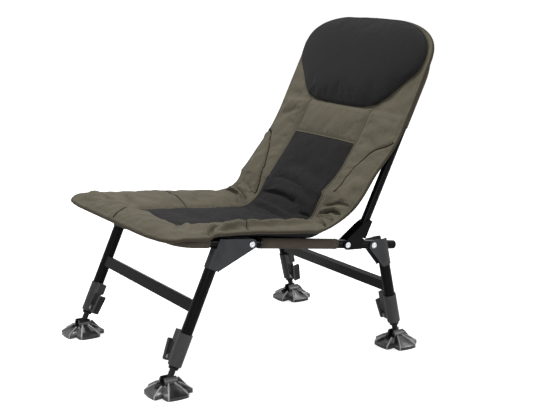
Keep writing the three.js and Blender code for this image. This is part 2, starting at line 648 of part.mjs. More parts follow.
// Leg clamp: a barrel round both tubes with a spine that carries a cam lever on its inner side.
// Its frame has the leg's axis along Z, its upper rim at 0 and the lever toward +X.
function makeClampHousing(group, name) {
  const socket = LEG_RADIUS + SEAT_GAP;
  const bore = INNER_LEG_RADIUS + SEAT_GAP;
  const rimChamfer = CLAMP_RADIUS - socket;
  let housing = toSolid(turned([
    [0, -CLAMP_LENGTH],
    [CLAMP_RADIUS - rimChamfer, -CLAMP_LENGTH],
    [CLAMP_RADIUS, -CLAMP_LENGTH + rimChamfer],
    [CLAMP_RADIUS, 0],
    [0, 0],
  ], CLAMP_SIDES));

  const waistTop = -LUG_HEIGHT - (LUG_REACH - SPINE_REACH) / 2;
  const spine = new THREE.Shape();
  spine.moveTo(0, LUG_RISE);
  spine.lineTo(0, -CLAMP_LENGTH + rimChamfer);
  spine.lineTo(SPINE_REACH, -LEVER_PIN_DROP - EAR_RADIUS);
  spine.lineTo(LEVER_PIN_REACH, -LEVER_PIN_DROP - EAR_RADIUS);
  spine.absarc(LEVER_PIN_REACH, -LEVER_PIN_DROP, EAR_RADIUS, -Math.PI / 2, Math.PI / 2, false);
  spine.lineTo(SPINE_REACH, -LEVER_PIN_DROP + EAR_RADIUS);
  spine.lineTo(SPINE_REACH, waistTop);
  spine.lineTo(LUG_REACH, -LUG_HEIGHT);
  spine.lineTo(LUG_REACH, LUG_RISE);
  housing = housing.add(toSolid(frontExtrusion(spine, SPINE_WIDTH / 2)));

  const slotHalf = LEVER_EYE_WIDTH / 2 + SEAT_GAP;
  const slot = box(
    new THREE.Vector3(SPINE_REACH - CLAMP_RADIUS / 4, -slotHalf, -CLAMP_LENGTH - OVERRUN),
    new THREE.Vector3(LUG_REACH + OVERRUN, slotHalf, waistTop - OVERRUN),
  );
  const eyeSlot = rod('y', LEVER_EYE_RADIUS + RUNNING_GAP, -slotHalf, slotHalf, TUBE_SIDES);
  placed(eyeSlot, { x: LEVER_PIN_REACH, z: -LEVER_PIN_DROP });
  housing = housing.subtract(toSolid(slot)).subtract(toSolid(eyeSlot));
  const pinHole = rod('y', LEVER_PIN_DIAMETER / 2 + SEAT_GAP, -SPINE_WIDTH, SPINE_WIDTH);
  housing = housing.subtract(toSolid(placed(pinHole, { x: LEVER_PIN_REACH, z: -LEVER_PIN_DROP })));
  const topOverrun = LUG_RISE + OVERRUN;
  const tubeSocket = rod('z', socket, -CLAMP_SOCKET_DEPTH - SEAT_GAP, topOverrun, CLAMP_SIDES);
  const innerBore = rod('z', bore, -CLAMP_LENGTH - OVERRUN, topOverrun, CLAMP_SIDES);
  housing = housing.subtract(toSolid(tubeSocket)).subtract(toSolid(innerBore));
  addPiece(group, name, housing, materials.clampPlastic);
}

function makeClampLever(group, name) {
  const pin = new THREE.Vector2(LEVER_PIN_REACH, -LEVER_PIN_DROP);
  const heel = new THREE.Vector2(PADDLE_HEEL_REACH, -PADDLE_HEEL_DROP);
  const tip = new THREE.Vector2(PADDLE_TIP_REACH, -PADDLE_TIP_DROP);
  const half = PADDLE_THICKNESS / 2;
  const link = capsuleShape(pin, LEVER_EYE_RADIUS, heel, half);
  const paddle = capsuleShape(heel, half, tip, half);
  let lever = toSolid(frontExtrusion(link, LEVER_EYE_WIDTH / 2));
  lever = lever.add(toSolid(frontExtrusion(paddle, PADDLE_WIDTH / 2)));
  const hole = rod('y', LEVER_PIN_DIAMETER / 2 + SEAT_GAP, -SPINE_WIDTH, SPINE_WIDTH);
  lever = lever.subtract(toSolid(placed(hole, { x: pin.x, z: pin.y })));
  addPiece(group, name, lever, materials.leverPlastic);
}

function makeLeverPin(group, name) {
  const half = SPINE_WIDTH / 2 + SEAT_GAP;
  const shank = LEVER_PIN_DIAMETER / 2;
  const pin = turned([
    [0, -half - LEVER_PIN_HEAD_HEIGHT],
    [LEVER_PIN_HEAD_RADIUS, -half - LEVER_PIN_HEAD_HEIGHT],
    [LEVER_PIN_HEAD_RADIUS, -half],
    [shank, -half],
    [shank, half],
    [LEVER_PIN_HEAD_RADIUS, half],
    [LEVER_PIN_HEAD_RADIUS, half + LEVER_PIN_HEAD_HEIGHT],
    [0, half + LEVER_PIN_HEAD_HEIGHT],
  ], SMALL_SIDES);
  placed(pin, { turnX: Math.PI / 2 });
  placed(pin, { x: LEVER_PIN_REACH, z: -LEVER_PIN_DROP });
  addPiece(group, name, toSolid(pin), materials.zinc);
}

function makeInnerLeg(group, name, ballDrop) {
  const end = -(ballDrop - CLAMP_TO_BALL + COLLAR_HEIGHT);
  const ring = ringShape(INNER_LEG_RADIUS, INNER_LEG_RADIUS - INNER_LEG_WALL);
  const tube = toSolid(raisedExtrusion(ring, end, end + INNER_LEG_LENGTH, TUBE_SIDES / 2));
  addPiece(group, name, tube, materials.greyPaint);
}

// The ball stud plugs the inner leg and ends in the ball that the foot swivels on
function makeBallStud(group, name) {
  const collarTop = CLAMP_TO_BALL - COLLAR_HEIGHT - SEAT_GAP;
  const collarRadius = INNER_LEG_RADIUS - SEAT_GAP;
  const plugRadius = INNER_LEG_RADIUS - INNER_LEG_WALL - SEAT_GAP;
  const neckStart = Math.asin(NECK_RADIUS / BALL_RADIUS);
  const profile = [[0, -BALL_RADIUS]];
  for (let step = 1; step <= BALL_STEPS; step += 1) {
    const angle = Math.PI - (step / BALL_STEPS) * (Math.PI - neckStart);
    profile.push([BALL_RADIUS * Math.sin(angle), BALL_RADIUS * Math.cos(angle)]);
  }
  profile.push([NECK_RADIUS, collarTop - COLLAR_HEIGHT]);
  profile.push([collarRadius, collarTop - COLLAR_HEIGHT]);
  profile.push([collarRadius, collarTop]);
  profile.push([plugRadius, collarTop]);
  profile.push([plugRadius, collarTop + PLUG_LENGTH]);
  profile.push([0, collarTop + PLUG_LENGTH]);
  addPiece(group, name, toSolid(turned(profile, SMALL_SIDES)), materials.leverPlastic);
}

// Mud foot: four drooping lobes round a hub whose barrel takes the ball from the front.
// Its frame has the ground at Z = 0 and the ball's centre above the origin.
function footWings() {
  const lobeHalf = THREE.MathUtils.degToRad(LOBE_HALF_DEG);
  const quarter = Math.PI / 2;
  const fromLobe = (angle) => Math.abs(((angle + quarter / 2) % quarter) - quarter / 2);
  const intoNotch = (angle) => Math.max(0, (fromLobe(angle) - lobeHalf) / (quarter / 2 - lobeHalf));
  const radiusAt = (angle) => {
    const chord = (FOOT_RADIUS * Math.cos(lobeHalf)) / Math.cos(fromLobe(angle));
    const lobe = THREE.MathUtils.lerp(chord, FOOT_RADIUS, 1 / 2);
    return THREE.MathUtils.lerp(lobe, FOOT_NOTCH_RADIUS, intoNotch(angle));
  };
  const groundAt = (angle) => FOOT_ARCH * intoNotch(angle);
  const ridgeAt = (angle) => {
    const alongLobe = Math.min(1, fromLobe(angle) / lobeHalf);
    return FOOT_SKIN * (alongLobe ** 2 - 1 / 2) * (1 - intoNotch(angle));
  };
  const flatShare = FOOT_EDGE_FLAT / FOOT_RADIUS;
  const rows = [
    (a) => [HUB_SKIRT_RADIUS, HUB_SKIRT_HEIGHT],
    (a) => [(radiusAt(a) + HUB_SKIRT_RADIUS) / 2, (HUB_SKIRT_HEIGHT + FOOT_RIM) / 2 + ridgeAt(a)],
    (a) => [radiusAt(a), FOOT_RIM + groundAt(a)],
    (a) => [radiusAt(a), groundAt(a)],
    (a) => [radiusAt(a) * (1 - flatShare), groundAt(a)],
    (a) => [
      (radiusAt(a) + HUB_SKIRT_RADIUS) / 2,
      (HUB_SKIRT_HEIGHT + FOOT_RIM) / 2 + ridgeAt(a) - 2 * FOOT_SKIN,
    ],
    () => [HUB_SKIRT_RADIUS, HUB_SKIRT_HEIGHT - 2 * FOOT_SKIN],
  ];
  const positions = [];
  const index = [];
  for (const row of rows) {
    for (let step = 0; step < FOOT_STEPS; step += 1) {
      const angle = (step / FOOT_STEPS) * 2 * Math.PI;
      const [radius, height] = row(angle);
      positions.push(radius * Math.cos(angle), radius * Math.sin(angle), height);
    }
  }
  const top = positions.push(0, 0, HUB_SKIRT_HEIGHT) / 3 - 1;
  const bottom = positions.push(0, 0, HUB_SKIRT_HEIGHT - 2 * FOOT_SKIN) / 3 - 1;
  for (let step = 0; step < FOOT_STEPS; step += 1) {
    const next = (step + 1) % FOOT_STEPS;
    index.push(top, step, next);
    for (let row = 0; row + 1 < rows.length; row += 1) {
      const a = row * FOOT_STEPS + step;
      const b = row * FOOT_STEPS + next;
      index.push(a, a + FOOT_STEPS, b, b, a + FOOT_STEPS, b + FOOT_STEPS);
    }
    const last = (rows.length - 1) * FOOT_STEPS;
    index.push(bottom, last + next, last + step);
  }
  const geometry = new THREE.BufferGeometry();
  geometry.setAttribute('position', new THREE.Float32BufferAttribute(positions, 3));
  geometry.setIndex(index);
  return toSolid(geometry);
}

function footSolid() {
  let foot = footWings();
  const hub = rod('y', HUB_RADIUS, -HUB_HALF_LENGTH, HUB_HALF_LENGTH, TUBE_SIDES);
  foot = foot.add(toSolid(placed(hub, { z: BALL_HEIGHT })));
  const fin = new THREE.Shape();
  fin.moveTo(0, HUB_SKIRT_HEIGHT - FOOT_SKIN);
  fin.lineTo(FOOT_RADIUS - FOOT_RIM, FOOT_RIM - FOOT_SKIN / 2);
  fin.lineTo(FOOT_RADIUS - FOOT_RIM, FOOT_RIM + FOOT_SKIN);
  fin.lineTo(FIN_PEAK_SETBACK, FIN_PEAK_HEIGHT);
  fin.lineTo(FIN_PEAK_SETBACK - FOOT_SKIN, FIN_PEAK_HEIGHT - FOOT_SKIN);
  fin.lineTo(0, BALL_HEIGHT + HUB_RADIUS / 2);
  foot = foot.add(toSolid(sideExtrusion(fin, FIN_THICKNESS / 2)));

  const socket = BALL_RADIUS + RUNNING_GAP;
  const mouth = rod('y', socket, -FOOT_RADIUS, 0, TUBE_SIDES);
  const cup = new THREE.SphereGeometry(socket, TUBE_SIDES, SMALL_SIDES);
  foot = foot.subtract(toSolid(placed(mouth, { z: BALL_HEIGHT })));
  foot = foot.subtract(toSolid(placed(cup, { z: BALL_HEIGHT })));

  const swing = THREE.MathUtils.degToRad(NECK_SWING_DEG);
  const slot = new THREE.Shape();
  slot.moveTo(0, 0);
  slot.lineTo(2 * HUB_RADIUS * Math.sin(swing), 2 * HUB_RADIUS * Math.cos(swing));
  slot.absarc(0, 0, 2 * HUB_RADIUS, Math.PI / 2 - swing, Math.PI / 2 + swing, false);
  const neckSlot = sideExtrusion(slot, NECK_RADIUS + RUNNING_GAP);
  foot = foot.subtract(toSolid(placed(neckSlot, { z: BALL_HEIGHT })));
  const eyelet = rod('x', EYELET_RADIUS, -FOOT_RADIUS, FOOT_RADIUS);
  return foot.subtract(toSolid(placed(eyelet, { y: EYELET_SETBACK, z: EYELET_HEIGHT })));
}

function makeLegs() {
  const foot = footSolid();
  for (const legSet of legSets) {
    makeCrossbar(legSet);
    for (const [side, sign] of sides) {
      const leg = legGroup(legSet.station, legSet.lean, sign);
      const ballDrop = legReach(legSet);
      const label = `${legSet.name}_${side}`;
      makeLegTube(legSet, leg, side);
      makeLegBracket(legSet, leg, side);
      const clamp = new THREE.Group();
      clamp.position.z = -(ballDrop - CLAMP_TO_BALL - CLAMP_LENGTH);
      clamp.rotation.z = sign > 0 ? Math.PI : 0;
      leg.add(clamp);
      makeClampHousing(clamp, `clamp_housing_${label}`);
      makeClampLever(clamp, `clamp_lever_${label}`);
      makeLeverPin(clamp, `lever_pin_${label}`);
      makeInnerLeg(leg, `inner_leg_${label}`, ballDrop);
      const ball = new THREE.Group();
      ball.position.z = -ballDrop;
      leg.add(ball);
      makeBallStud(ball, `ball_stud_${label}`);
      const level = new THREE.Group();
      level.rotation.x = RAIL_TILT - legSet.lean;
      ball.add(level);
      const ground = new THREE.Group();
      ground.position.z = -BALL_HEIGHT;
      level.add(ground);
      addPiece(ground, `mud_foot_${label}`, foot, materials.footPlastic);
    }
  }
}

// A solid between two surfaces over a grid of places
function blanket(rows, columns, over, under) {
  const positions = [];
  const index = [];
  const across = columns.length;
  const count = rows.length * across;
  for (const surface of [over, under]) {
    for (const row of rows) {
      for (const column of columns) {
        positions.push(...surface(row, column).toArray());
      }
    }
  }
  const quad = (a, b, c, d) => index.push(a, b, c, a, c, d);
  for (let row = 0; row + 1 < rows.length; row += 1) {
    for (let column = 0; column + 1 < across; column += 1) {
      const a = row * across + column;
      quad(a, a + 1, a + across + 1, a + across);
      quad(count + a, count + a + across, count + a + across + 1, count + a + 1);
    }
    const left = row * across;
    const right = left + across - 1;
    quad(left, left + across, count + left + across, count + left);
    quad(right, count + right, count + right + across, right + across);
  }
  const last = (rows.length - 1) * across;
  for (let column = 0; column + 1 < across; column += 1) {
    quad(column, count + column, count + column + 1, column + 1);
    quad(last + column, last + column + 1, count + last + column + 1, count + last + column);
  }
  const geometry = new THREE.BufferGeometry();
  geometry.setAttribute('position', new THREE.Float32BufferAttribute(positions, 3));
  geometry.setIndex(index);
  return toSolid(geometry);
}

function evenSteps(count, low = 0, high = 1) {
  return Array.from({ length: count }, (_, step) => THREE.MathUtils.lerp(low, high, step / (count - 1)));
}

function ease(share) {
  return THREE.MathUtils.smoothstep(share, 0, 1);
}

// Sling: cloth sleeves on the rails and the front tube, with a sagging seat between them
function slingHeight(x, y) {
  const inFromFront = ease((y + FRONT_REACH) / FRONT_REACH);
  return SLING_RADIUS - SLING_SAG * inFromFront * (1 - (x / HALF_SPACING) ** 2);
}

// Stations along the rails at which the sling and the padding on it bend alike
function restStations() {
  const panelFront = -SEAT_PANEL_FRONT;
  return [...evenSteps(3, -FRONT_REACH, panelFront), ...evenSteps(3, panelFront, 0).slice(1)];
}

function makeSling() {
  const rows = [...restStations(), ...evenSteps(4, 0, SLING_REAR_STATION).slice(1)];
  const inside = columnPlaces().filter((x) => Math.abs(x) < HALF_SPACING);
  const columns = [-HALF_SPACING, ...inside, HALF_SPACING];
  const sheetAt = (drop) => (row, column) =>
    new THREE.Vector3(column, row, slingHeight(column, row) - drop);
  let sling = blanket(rows, columns, sheetAt(0), sheetAt(SLING_THICKNESS));
  const gapLow = new THREE.Vector3(BRACKET_CLEAR, -FRONT_SLEEVE_END, -RAIL_DIAMETER);
  const gapHigh = new THREE.Vector3(2 * HALF_SPACING, REAR_SLEEVE_START, 2 * RAIL_DIAMETER);
  sling = sling.subtract(toSolid(box(gapLow, gapHigh)));
  const mirroredLow = new THREE.Vector3(-gapHigh.x, gapLow.y, gapLow.z);
  const mirroredHigh = new THREE.Vector3(-gapLow.x, gapHigh.y, gapHigh.z);
  sling = sling.subtract(toSolid(box(mirroredLow, mirroredHigh)));
  const bendEnd = -FRONT_REACH + RAIL_BEND_RADIUS;
  for (const [, sign] of sides) {
    for (const [low, high] of [[bendEnd, -FRONT_SLEEVE_END], [REAR_SLEEVE_START, SLING_REAR_STATION]]) {
      const sleeve = rod('y', SLING_RADIUS, low, high, TUBE_SIDES);
      sling = sling.add(toSolid(placed(sleeve, { x: sign * HALF_SPACING })));
    }
  }
  const bendX = HALF_SPACING - RAIL_BEND_RADIUS;
  const front = rod('x', SLING_RADIUS, -bendX, bendX, TUBE_SIDES);
  sling = sling.add(toSolid(placed(front, { y: -FRONT_REACH })));
  const onRails = (x, y) => new THREE.Vector3(x, y, 0);
  const points = hoopPoints(RAIL_END_STATION, -FRONT_REACH, RAIL_BEND_RADIUS, onRails);
  const whole = new THREE.Shape().absarc(0, 0, RAIL_RADIUS + SEAT_GAP, 0, 2 * Math.PI, false);
  const core = new THREE.ExtrudeGeometry(whole, {
    steps: points.length - 1, curveSegments: TUBE_SIDES / 2, extrudePath: new StationPath(points),
  });
  addPiece(seatFrame, 'suspension_sling', sling.subtract(toSolid(core)), materials.slingCloth);
}

// Back cloth: a sleeve round the back tube's upper half with a panel between its sides
function makeBackCloth() {
  const top = BACK_TUBE_TOP - RAIL_RADIUS;
  const inside = columnPlaces().filter((x) => Math.abs(x) < HALF_SPACING);
  const columns = [-HALF_SPACING, ...inside, HALF_SPACING];
  const rows = [BACK_CLOTH_START, ...backStations().filter((z) => z > BACK_CLOTH_START && z < top), top];
  const panelAt = (drop) => (row, column) => {
    const setback = BACK_TUBE_SETBACK - SLING_RADIUS + backSag(column, row) + drop;
    return new THREE.Vector3(column, setback, row);
  };
  let cloth = blanket(rows, columns, panelAt(0), panelAt(SLING_THICKNESS));
  const place = (x, z) => new THREE.Vector3(x, BACK_TUBE_SETBACK, z);
  const points = hoopPoints(BACK_CLOTH_START, BACK_TUBE_TOP, BACK_BEND_RADIUS, place);
  const solidTube = (radius) => toSolid(new THREE.ExtrudeGeometry(
    new THREE.Shape().absarc(0, 0, radius, 0, 2 * Math.PI, false),
    { steps: points.length - 1, curveSegments: TUBE_SIDES / 2, extrudePath: new StationPath(points) },
  ));
  const outside = new THREE.Shape();
  const bendStart = BACK_TUBE_TOP - BACK_BEND_RADIUS;
  const bendX = HALF_SPACING - BACK_BEND_RADIUS;
  outside.moveTo(HALF_SPACING, BACK_CLOTH_START);
  outside.lineTo(HALF_SPACING, bendStart);
  outside.absarc(bendX, bendStart, BACK_BEND_RADIUS, 0, Math.PI / 2, false);
  outside.absarc(-bendX, bendStart, BACK_BEND_RADIUS, Math.PI / 2, Math.PI, false);
  outside.lineTo(-HALF_SPACING, BACK_CLOTH_START);
  const withinHoop = frontExtrusion(outside, BACK_TUBE_SETBACK);
  cloth = cloth.intersect(toSolid(placed(withinHoop, { y: BACK_TUBE_SETBACK })));
  cloth = cloth.add(solidTube(SLING_RADIUS));
  const bore = hoopPoints(BACK_CLOTH_START - OVERRUN, BACK_TUBE_TOP, BACK_BEND_RADIUS, place);
  const core = new THREE.ExtrudeGeometry(
    new THREE.Shape().absarc(0, 0, RAIL_RADIUS + SEAT_GAP, 0, 2 * Math.PI, false),
    { steps: bore.length - 1, curveSegments: TUBE_SIDES / 2, extrudePath: new StationPath(bore) },
  );
  addPiece(backFrame, 'backrest_cloth', cloth.subtract(toSolid(core)), materials.slingCloth);
}

// Where the border of a panel lies: 0 on the panel's seam and 1 on the mattress's edge
function borderShare(x, seam, edge) {
  return THREE.MathUtils.clamp((Math.abs(x) - seam) / (edge - seam), 0, 1);
}

function bulge(share) {
  return 4 * share * (1 - share);
}

function seatHalfWidth(y) {
  const fromFront = y + FRONT_REACH + SEAT_OVERHANG;
  const left = Math.max(0, SEAT_CORNER_RADIUS - fromFront);
  return MATTRESS_HALF_WIDTH - SEAT_CORNER_RADIUS + Math.sqrt(SEAT_CORNER_RADIUS ** 2 - left ** 2);
}

function seatEdgeHeight(y) {
  const forward = THREE.MathUtils.clamp(-y / (FRONT_REACH + SEAT_OVERHANG), 0, 1);
  return SEAT_EDGE_RISE - SEAT_EDGE_FALL * forward;
}

function seatUnder(x, y) {
  const overRail = Math.abs(x) >= BRACKET_CLEAR;
  const rest = (overRail ? SLING_RADIUS : slingHeight(x, y)) + CLOTH_REST;
  const aside = borderShare(x, HALF_SPACING, MATTRESS_HALF_WIDTH);
  const lift = Math.max(0, seatEdgeHeight(y) - MATTRESS_EDGE - rest) * aside;
  const droop = Math.min(1, Math.max(0, (-FRONT_REACH - y) / SEAT_OVERHANG)) ** (3 / 2);
  return rest + lift * (1 - droop) - SEAT_FRONT_DROOP * droop;
}

function seatOver(x, y) {
  const front = FRONT_REACH + SEAT_OVERHANG;
  const along = THREE.MathUtils.clamp((y + SEAT_PANEL_FRONT) / (SEAT_PAD_END + SEAT_PANEL_FRONT), 0, 1);
  const seam = SEAT_SEAM_RISE + SEAT_SEAM_CLIMB * along;
  const aside = borderShare(x, SEAT_PANEL_HALF_WIDTH, seatHalfWidth(y));
  const ahead = THREE.MathUtils.clamp((-y - SEAT_PANEL_FRONT) / (front - SEAT_PANEL_FRONT), 0, 1);
  const border = Math.min(1, (aside ** 4 + ahead ** 4) ** (1 / 4));
  const edge = seatUnder(MATTRESS_HALF_WIDTH, y) + MATTRESS_EDGE;
  if (border > 0) return THREE.MathUtils.lerp(seam, edge, border) + BORDER_CROWN * bulge(border);
  const across = 1 - (x / SEAT_PANEL_HALF_WIDTH) ** 2;
  return seam + PAD_CROWN * across * bulge(Math.min(along, 1 / 2));
}

function makeSeatCushion() {
  const front = -FRONT_REACH - SEAT_OVERHANG;
  const rows = [
    ...evenSteps(4, front, front + SEAT_CORNER_RADIUS),
    ...restStations(),
    ...evenSteps(4, 0, SEAT_PAD_END - SEAT_GAP).slice(1),
  ];
  const surface = (height) => (row, column) => {
    const x = (column / MATTRESS_HALF_WIDTH) * seatHalfWidth(row);
    return new THREE.Vector3(x, row, height(x, row));
  };
  const cushion = blanket(rows, columnPlaces(), surface(seatOver), surface(seatUnder));
  addPiece(seatFrame, 'seat_cushion', cushion, materials.oliveCloth);
}

// Columns lie on the panels' seams, beside the brackets and on the edge
function columnPlaces() {
  const half = [
    ...evenSteps(3, 0, SEAT_PANEL_HALF_WIDTH),
    ...evenSteps(3, BACK_PANEL_HALF_WIDTH, BRACKET_CLEAR),
    ...evenSteps(3, BRACKET_CLEAR, MATTRESS_HALF_WIDTH).slice(1),
  ];
  return [...half.slice(1).reverse().map((place) => -place), ...half];
}

// Back padding, in the back's frame: Y runs to the rear, the tube's axis at BACK_TUBE_SETBACK
function backHalfWidth(z) {
  const lower = THREE.MathUtils.lerp(MATTRESS_HALF_WIDTH, BACK_HALF_WIDTH,
    THREE.MathUtils.clamp((z - BACK_PAD_START) / (BACK_PANEL_TOP - BACK_PAD_START), 0, 1));
  const up = THREE.MathUtils.clamp((z - HEAD_START) / (BACK_PAD_TOP - HEAD_START), 0, 1);
  return HEAD_TOP_HALF_WIDTH + (lower - HEAD_TOP_HALF_WIDTH) * Math.sqrt(1 - up ** 3);
}

// How far the mattress stands ahead of its rest on the back tube and cloth
function backLead(z) {
  const down = THREE.MathUtils.clamp((BACK_CLOTH_START - z) / (BACK_CLOTH_START - BACK_PAD_START), 0, 1);
  return BACK_LEAD * down ** 2;
}

function backSag(x, z) {
  const intoBend = THREE.MathUtils.clamp((z - BACK_TUBE_TOP) / BACK_BEND_RADIUS + 1, 0, 1);
  const hoopX = HALF_SPACING - BACK_BEND_RADIUS * (1 - Math.sqrt(1 - intoBend ** 2));
  const inward = 1 - Math.min(1, Math.abs(x) / hoopX) ** 2;
  return BACK_CLOTH_SAG * ease((BACK_TUBE_TOP - RAIL_RADIUS - z) / BACK_BEND_RADIUS) * inward;
}

function backRear(x, z) {
  return BACK_TUBE_SETBACK - SLING_RADIUS - CLOTH_REST - SEAT_GAP + backSag(x, z) - backLead(z);
}

function backFront(x, z) {
  const intoHead = THREE.MathUtils.clamp((z - BACK_BAND_TOP) / (PILLOW_START - BACK_BAND_TOP), 0, 1);
  const crown = PAD_CROWN * (1 - intoHead);
  const rear = backRear(MATTRESS_HALF_WIDTH, z);
  const seam = rear - THREE.MathUtils.lerp(BACK_SEAM_THICKNESS, BACK_HEAD_THICKNESS, intoHead);
  const halfWidth = backHalfWidth(z);
  const seamX = Math.min(BACK_PANEL_HALF_WIDTH, halfWidth / 2);
  const aside = borderShare(x, seamX, halfWidth);
  if (aside > 0) return THREE.MathUtils.lerp(seam, rear - MATTRESS_EDGE, aside) - crown * bulge(aside);
  const across = 1 - (x / seamX) ** 2;
  const low = z < BACK_PANEL_TOP ? BACK_PAD_START : BACK_PANEL_TOP;
  const high = z < BACK_PANEL_TOP ? BACK_PANEL_TOP : BACK_BAND_TOP;
  const along = THREE.MathUtils.clamp((z - low) / (high - low), 0, 1);
  const open = z < BACK_PANEL_TOP ? bulge(Math.max(along, 1 / 2)) : bulge(along);
  return seam - crown * across * open;
}

function backStations() {
  return [
    ...evenSteps(5, BACK_PAD_START + SEAT_GAP, BACK_PANEL_TOP),
    ...evenSteps(3, BACK_PANEL_TOP, BACK_BAND_TOP).slice(1),
    ...evenSteps(5, PILLOW_START, HEAD_START),
    ...evenSteps(6, HEAD_START, BACK_PAD_TOP).slice(1),
  ];
}

function makeBackCushion() {
  const surface = (depth) => (row, column) => {
    const x = (column / MATTRESS_HALF_WIDTH) * backHalfWidth(row);
    return new THREE.Vector3(x, depth(x, row), row);
  };
  const cushion = blanket(backStations(), columnPlaces(), surface(backFront), surface(backRear));
  addPiece(backFrame, 'back_cushion', cushion, materials.oliveCloth);
}

function pillowHalfWidth(z) {
  if (z < PILLOW_SHOULDER) {
    const up = (z - PILLOW_START) / (PILLOW_SHOULDER - PILLOW_START);
    return THREE.MathUtils.lerp(PILLOW_FOOT_HALF_WIDTH, BACK_HALF_WIDTH - PILLOW_BORDER, up ** (2 / 3));
  }
  const above = (z - PILLOW_SHOULDER) / (PILLOW_TOP - PILLOW_SHOULDER);
  const outline = z + above * (BACK_PAD_TOP - PILLOW_TOP);
  return backHalfWidth(outline) - PILLOW_BORDER;
}

function makeHeadPillow() {
  const rows = [
    ...evenSteps(6, PILLOW_START, PILLOW_SHOULDER),
    ...evenSteps(7, PILLOW_SHOULDER, PILLOW_TOP).slice(1),
  ];
  const columns = evenSteps(13, -1, 1);
  const behind = backFront(0, PILLOW_START) - CLOTH_REST;
  const rear = (row, column) => {
    const x = column * pillowHalfWidth(row);
    return new THREE.Vector3(x, behind, row);
  };
  const face = (row, column) => {
    const along = (row - PILLOW_START) / (PILLOW_TOP - PILLOW_START);
    const fullness = Math.sqrt(bulge(along)) * Math.sqrt(1 - column ** 2);
    const point = rear(row, column);
    point.y -= PILLOW_EDGE + (PILLOW_THICKNESS - PILLOW_EDGE) * fullness;
    return point;
  };
  addPiece(backFrame, 'head_pillow', blanket(rows, columns, face, rear), materials.blackCloth);
}

// Crease: a strip that bends from the end of the seat's padding to the foot of the back's
function makeCreaseStrip() {
  const toSeat = (y, z) => new THREE.Vector3(
    0,
    BACK_PIVOT_STATION + y * Math.cos(BACK_TURN) + z * Math.sin(BACK_TURN),
    z * Math.cos(BACK_TURN) - y * Math.sin(BACK_TURN),
  );
  const backward = toSeat(0, -1).sub(toSeat(0, 0));
  const strand = (seatHeight, backDepth, gripShare) => (row, column) => {
    const start = new THREE.Vector3(0, SEAT_PAD_END, seatHeight(column, SEAT_PAD_END));
    const end = toSeat(backDepth(column, BACK_PAD_START), BACK_PAD_START);
    const grip = CREASE_HANDLE_LENGTH * gripShare;
    const curve = new THREE.CubicBezierCurve3(
      start,
      start.clone().add(new THREE.Vector3(0, grip, 0)),
      end.clone().addScaledVector(backward, grip),
      end,
    );
    return curve.getPoint(row).setX(column);
  };
  const over = strand(seatOver, backFront, 1);
  const under = strand(seatUnder, backRear, 1);
  const strip = blanket(evenSteps(8), columnPlaces(), over, under);
  addPiece(seatFrame, 'crease_strip', strip, materials.blackCloth);
}

makeSeatTube();
makeRailEndCaps();
makeRailCollars();
addRivets('front_leg_rivet', 0);
addRivets('backrest_rivet', BACK_PIVOT_STATION);
addRivets('rear_leg_rivet', REAR_PIVOT_STATION);
makeBackTube();
makeBackBrackets();
makeLegs();
makeSling();
makeBackCloth();
makeSeatCushion();
makeBackCushion();
makeHeadPillow();
makeCreaseStrip();

// The ground is at Z = 0 and the chair's outline is centred on the origin
chair.updateMatrixWorld(true);
const outline = new THREE.Box3().setFromObject(chair, true);
chair.position.set(0, -(outline.min.y + outline.max.y) / 2, -outline.min.z);

export default chair;
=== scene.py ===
"""Dresses the folding fishing chair: padded mattress, pillow, sling, tubes, clamps and feet."""

import math

import bmesh
import bpy
import numpy as np
from bpy.props import FloatProperty, FloatVectorProperty, IntProperty, PointerProperty
from bpy.types import Operator, Panel, PropertyGroup
from mathutils import Matrix, Vector


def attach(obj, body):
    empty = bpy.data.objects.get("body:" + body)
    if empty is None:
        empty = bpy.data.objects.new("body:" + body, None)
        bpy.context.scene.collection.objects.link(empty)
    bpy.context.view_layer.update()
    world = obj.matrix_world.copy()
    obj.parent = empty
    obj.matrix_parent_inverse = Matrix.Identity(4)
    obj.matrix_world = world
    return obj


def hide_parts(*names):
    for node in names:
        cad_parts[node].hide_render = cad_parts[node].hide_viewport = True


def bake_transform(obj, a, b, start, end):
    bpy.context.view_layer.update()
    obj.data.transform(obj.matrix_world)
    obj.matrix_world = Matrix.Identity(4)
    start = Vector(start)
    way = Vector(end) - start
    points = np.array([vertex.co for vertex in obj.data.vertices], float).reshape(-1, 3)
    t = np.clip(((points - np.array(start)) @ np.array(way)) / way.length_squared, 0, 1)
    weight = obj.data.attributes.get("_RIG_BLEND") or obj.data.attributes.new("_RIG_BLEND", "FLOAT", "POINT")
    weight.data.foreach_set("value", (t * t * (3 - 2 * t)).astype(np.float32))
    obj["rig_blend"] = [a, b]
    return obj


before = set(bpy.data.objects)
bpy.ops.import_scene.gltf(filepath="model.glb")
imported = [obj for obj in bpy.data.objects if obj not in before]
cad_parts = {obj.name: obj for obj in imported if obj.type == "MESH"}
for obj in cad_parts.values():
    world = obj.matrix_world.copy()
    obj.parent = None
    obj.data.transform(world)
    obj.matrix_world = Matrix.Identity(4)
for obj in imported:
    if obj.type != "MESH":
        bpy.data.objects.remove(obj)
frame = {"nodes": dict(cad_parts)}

bl_info = {
    "name": "Folding fishing chair",
    "version": (1, 0, 0),
    "blender": (4, 5, 0),
    "location": "View3D > Sidebar > Chair",
    "description": "Builds the cloth, padding and metalwork of a folding fishing chair",
    "category": "Object",
}

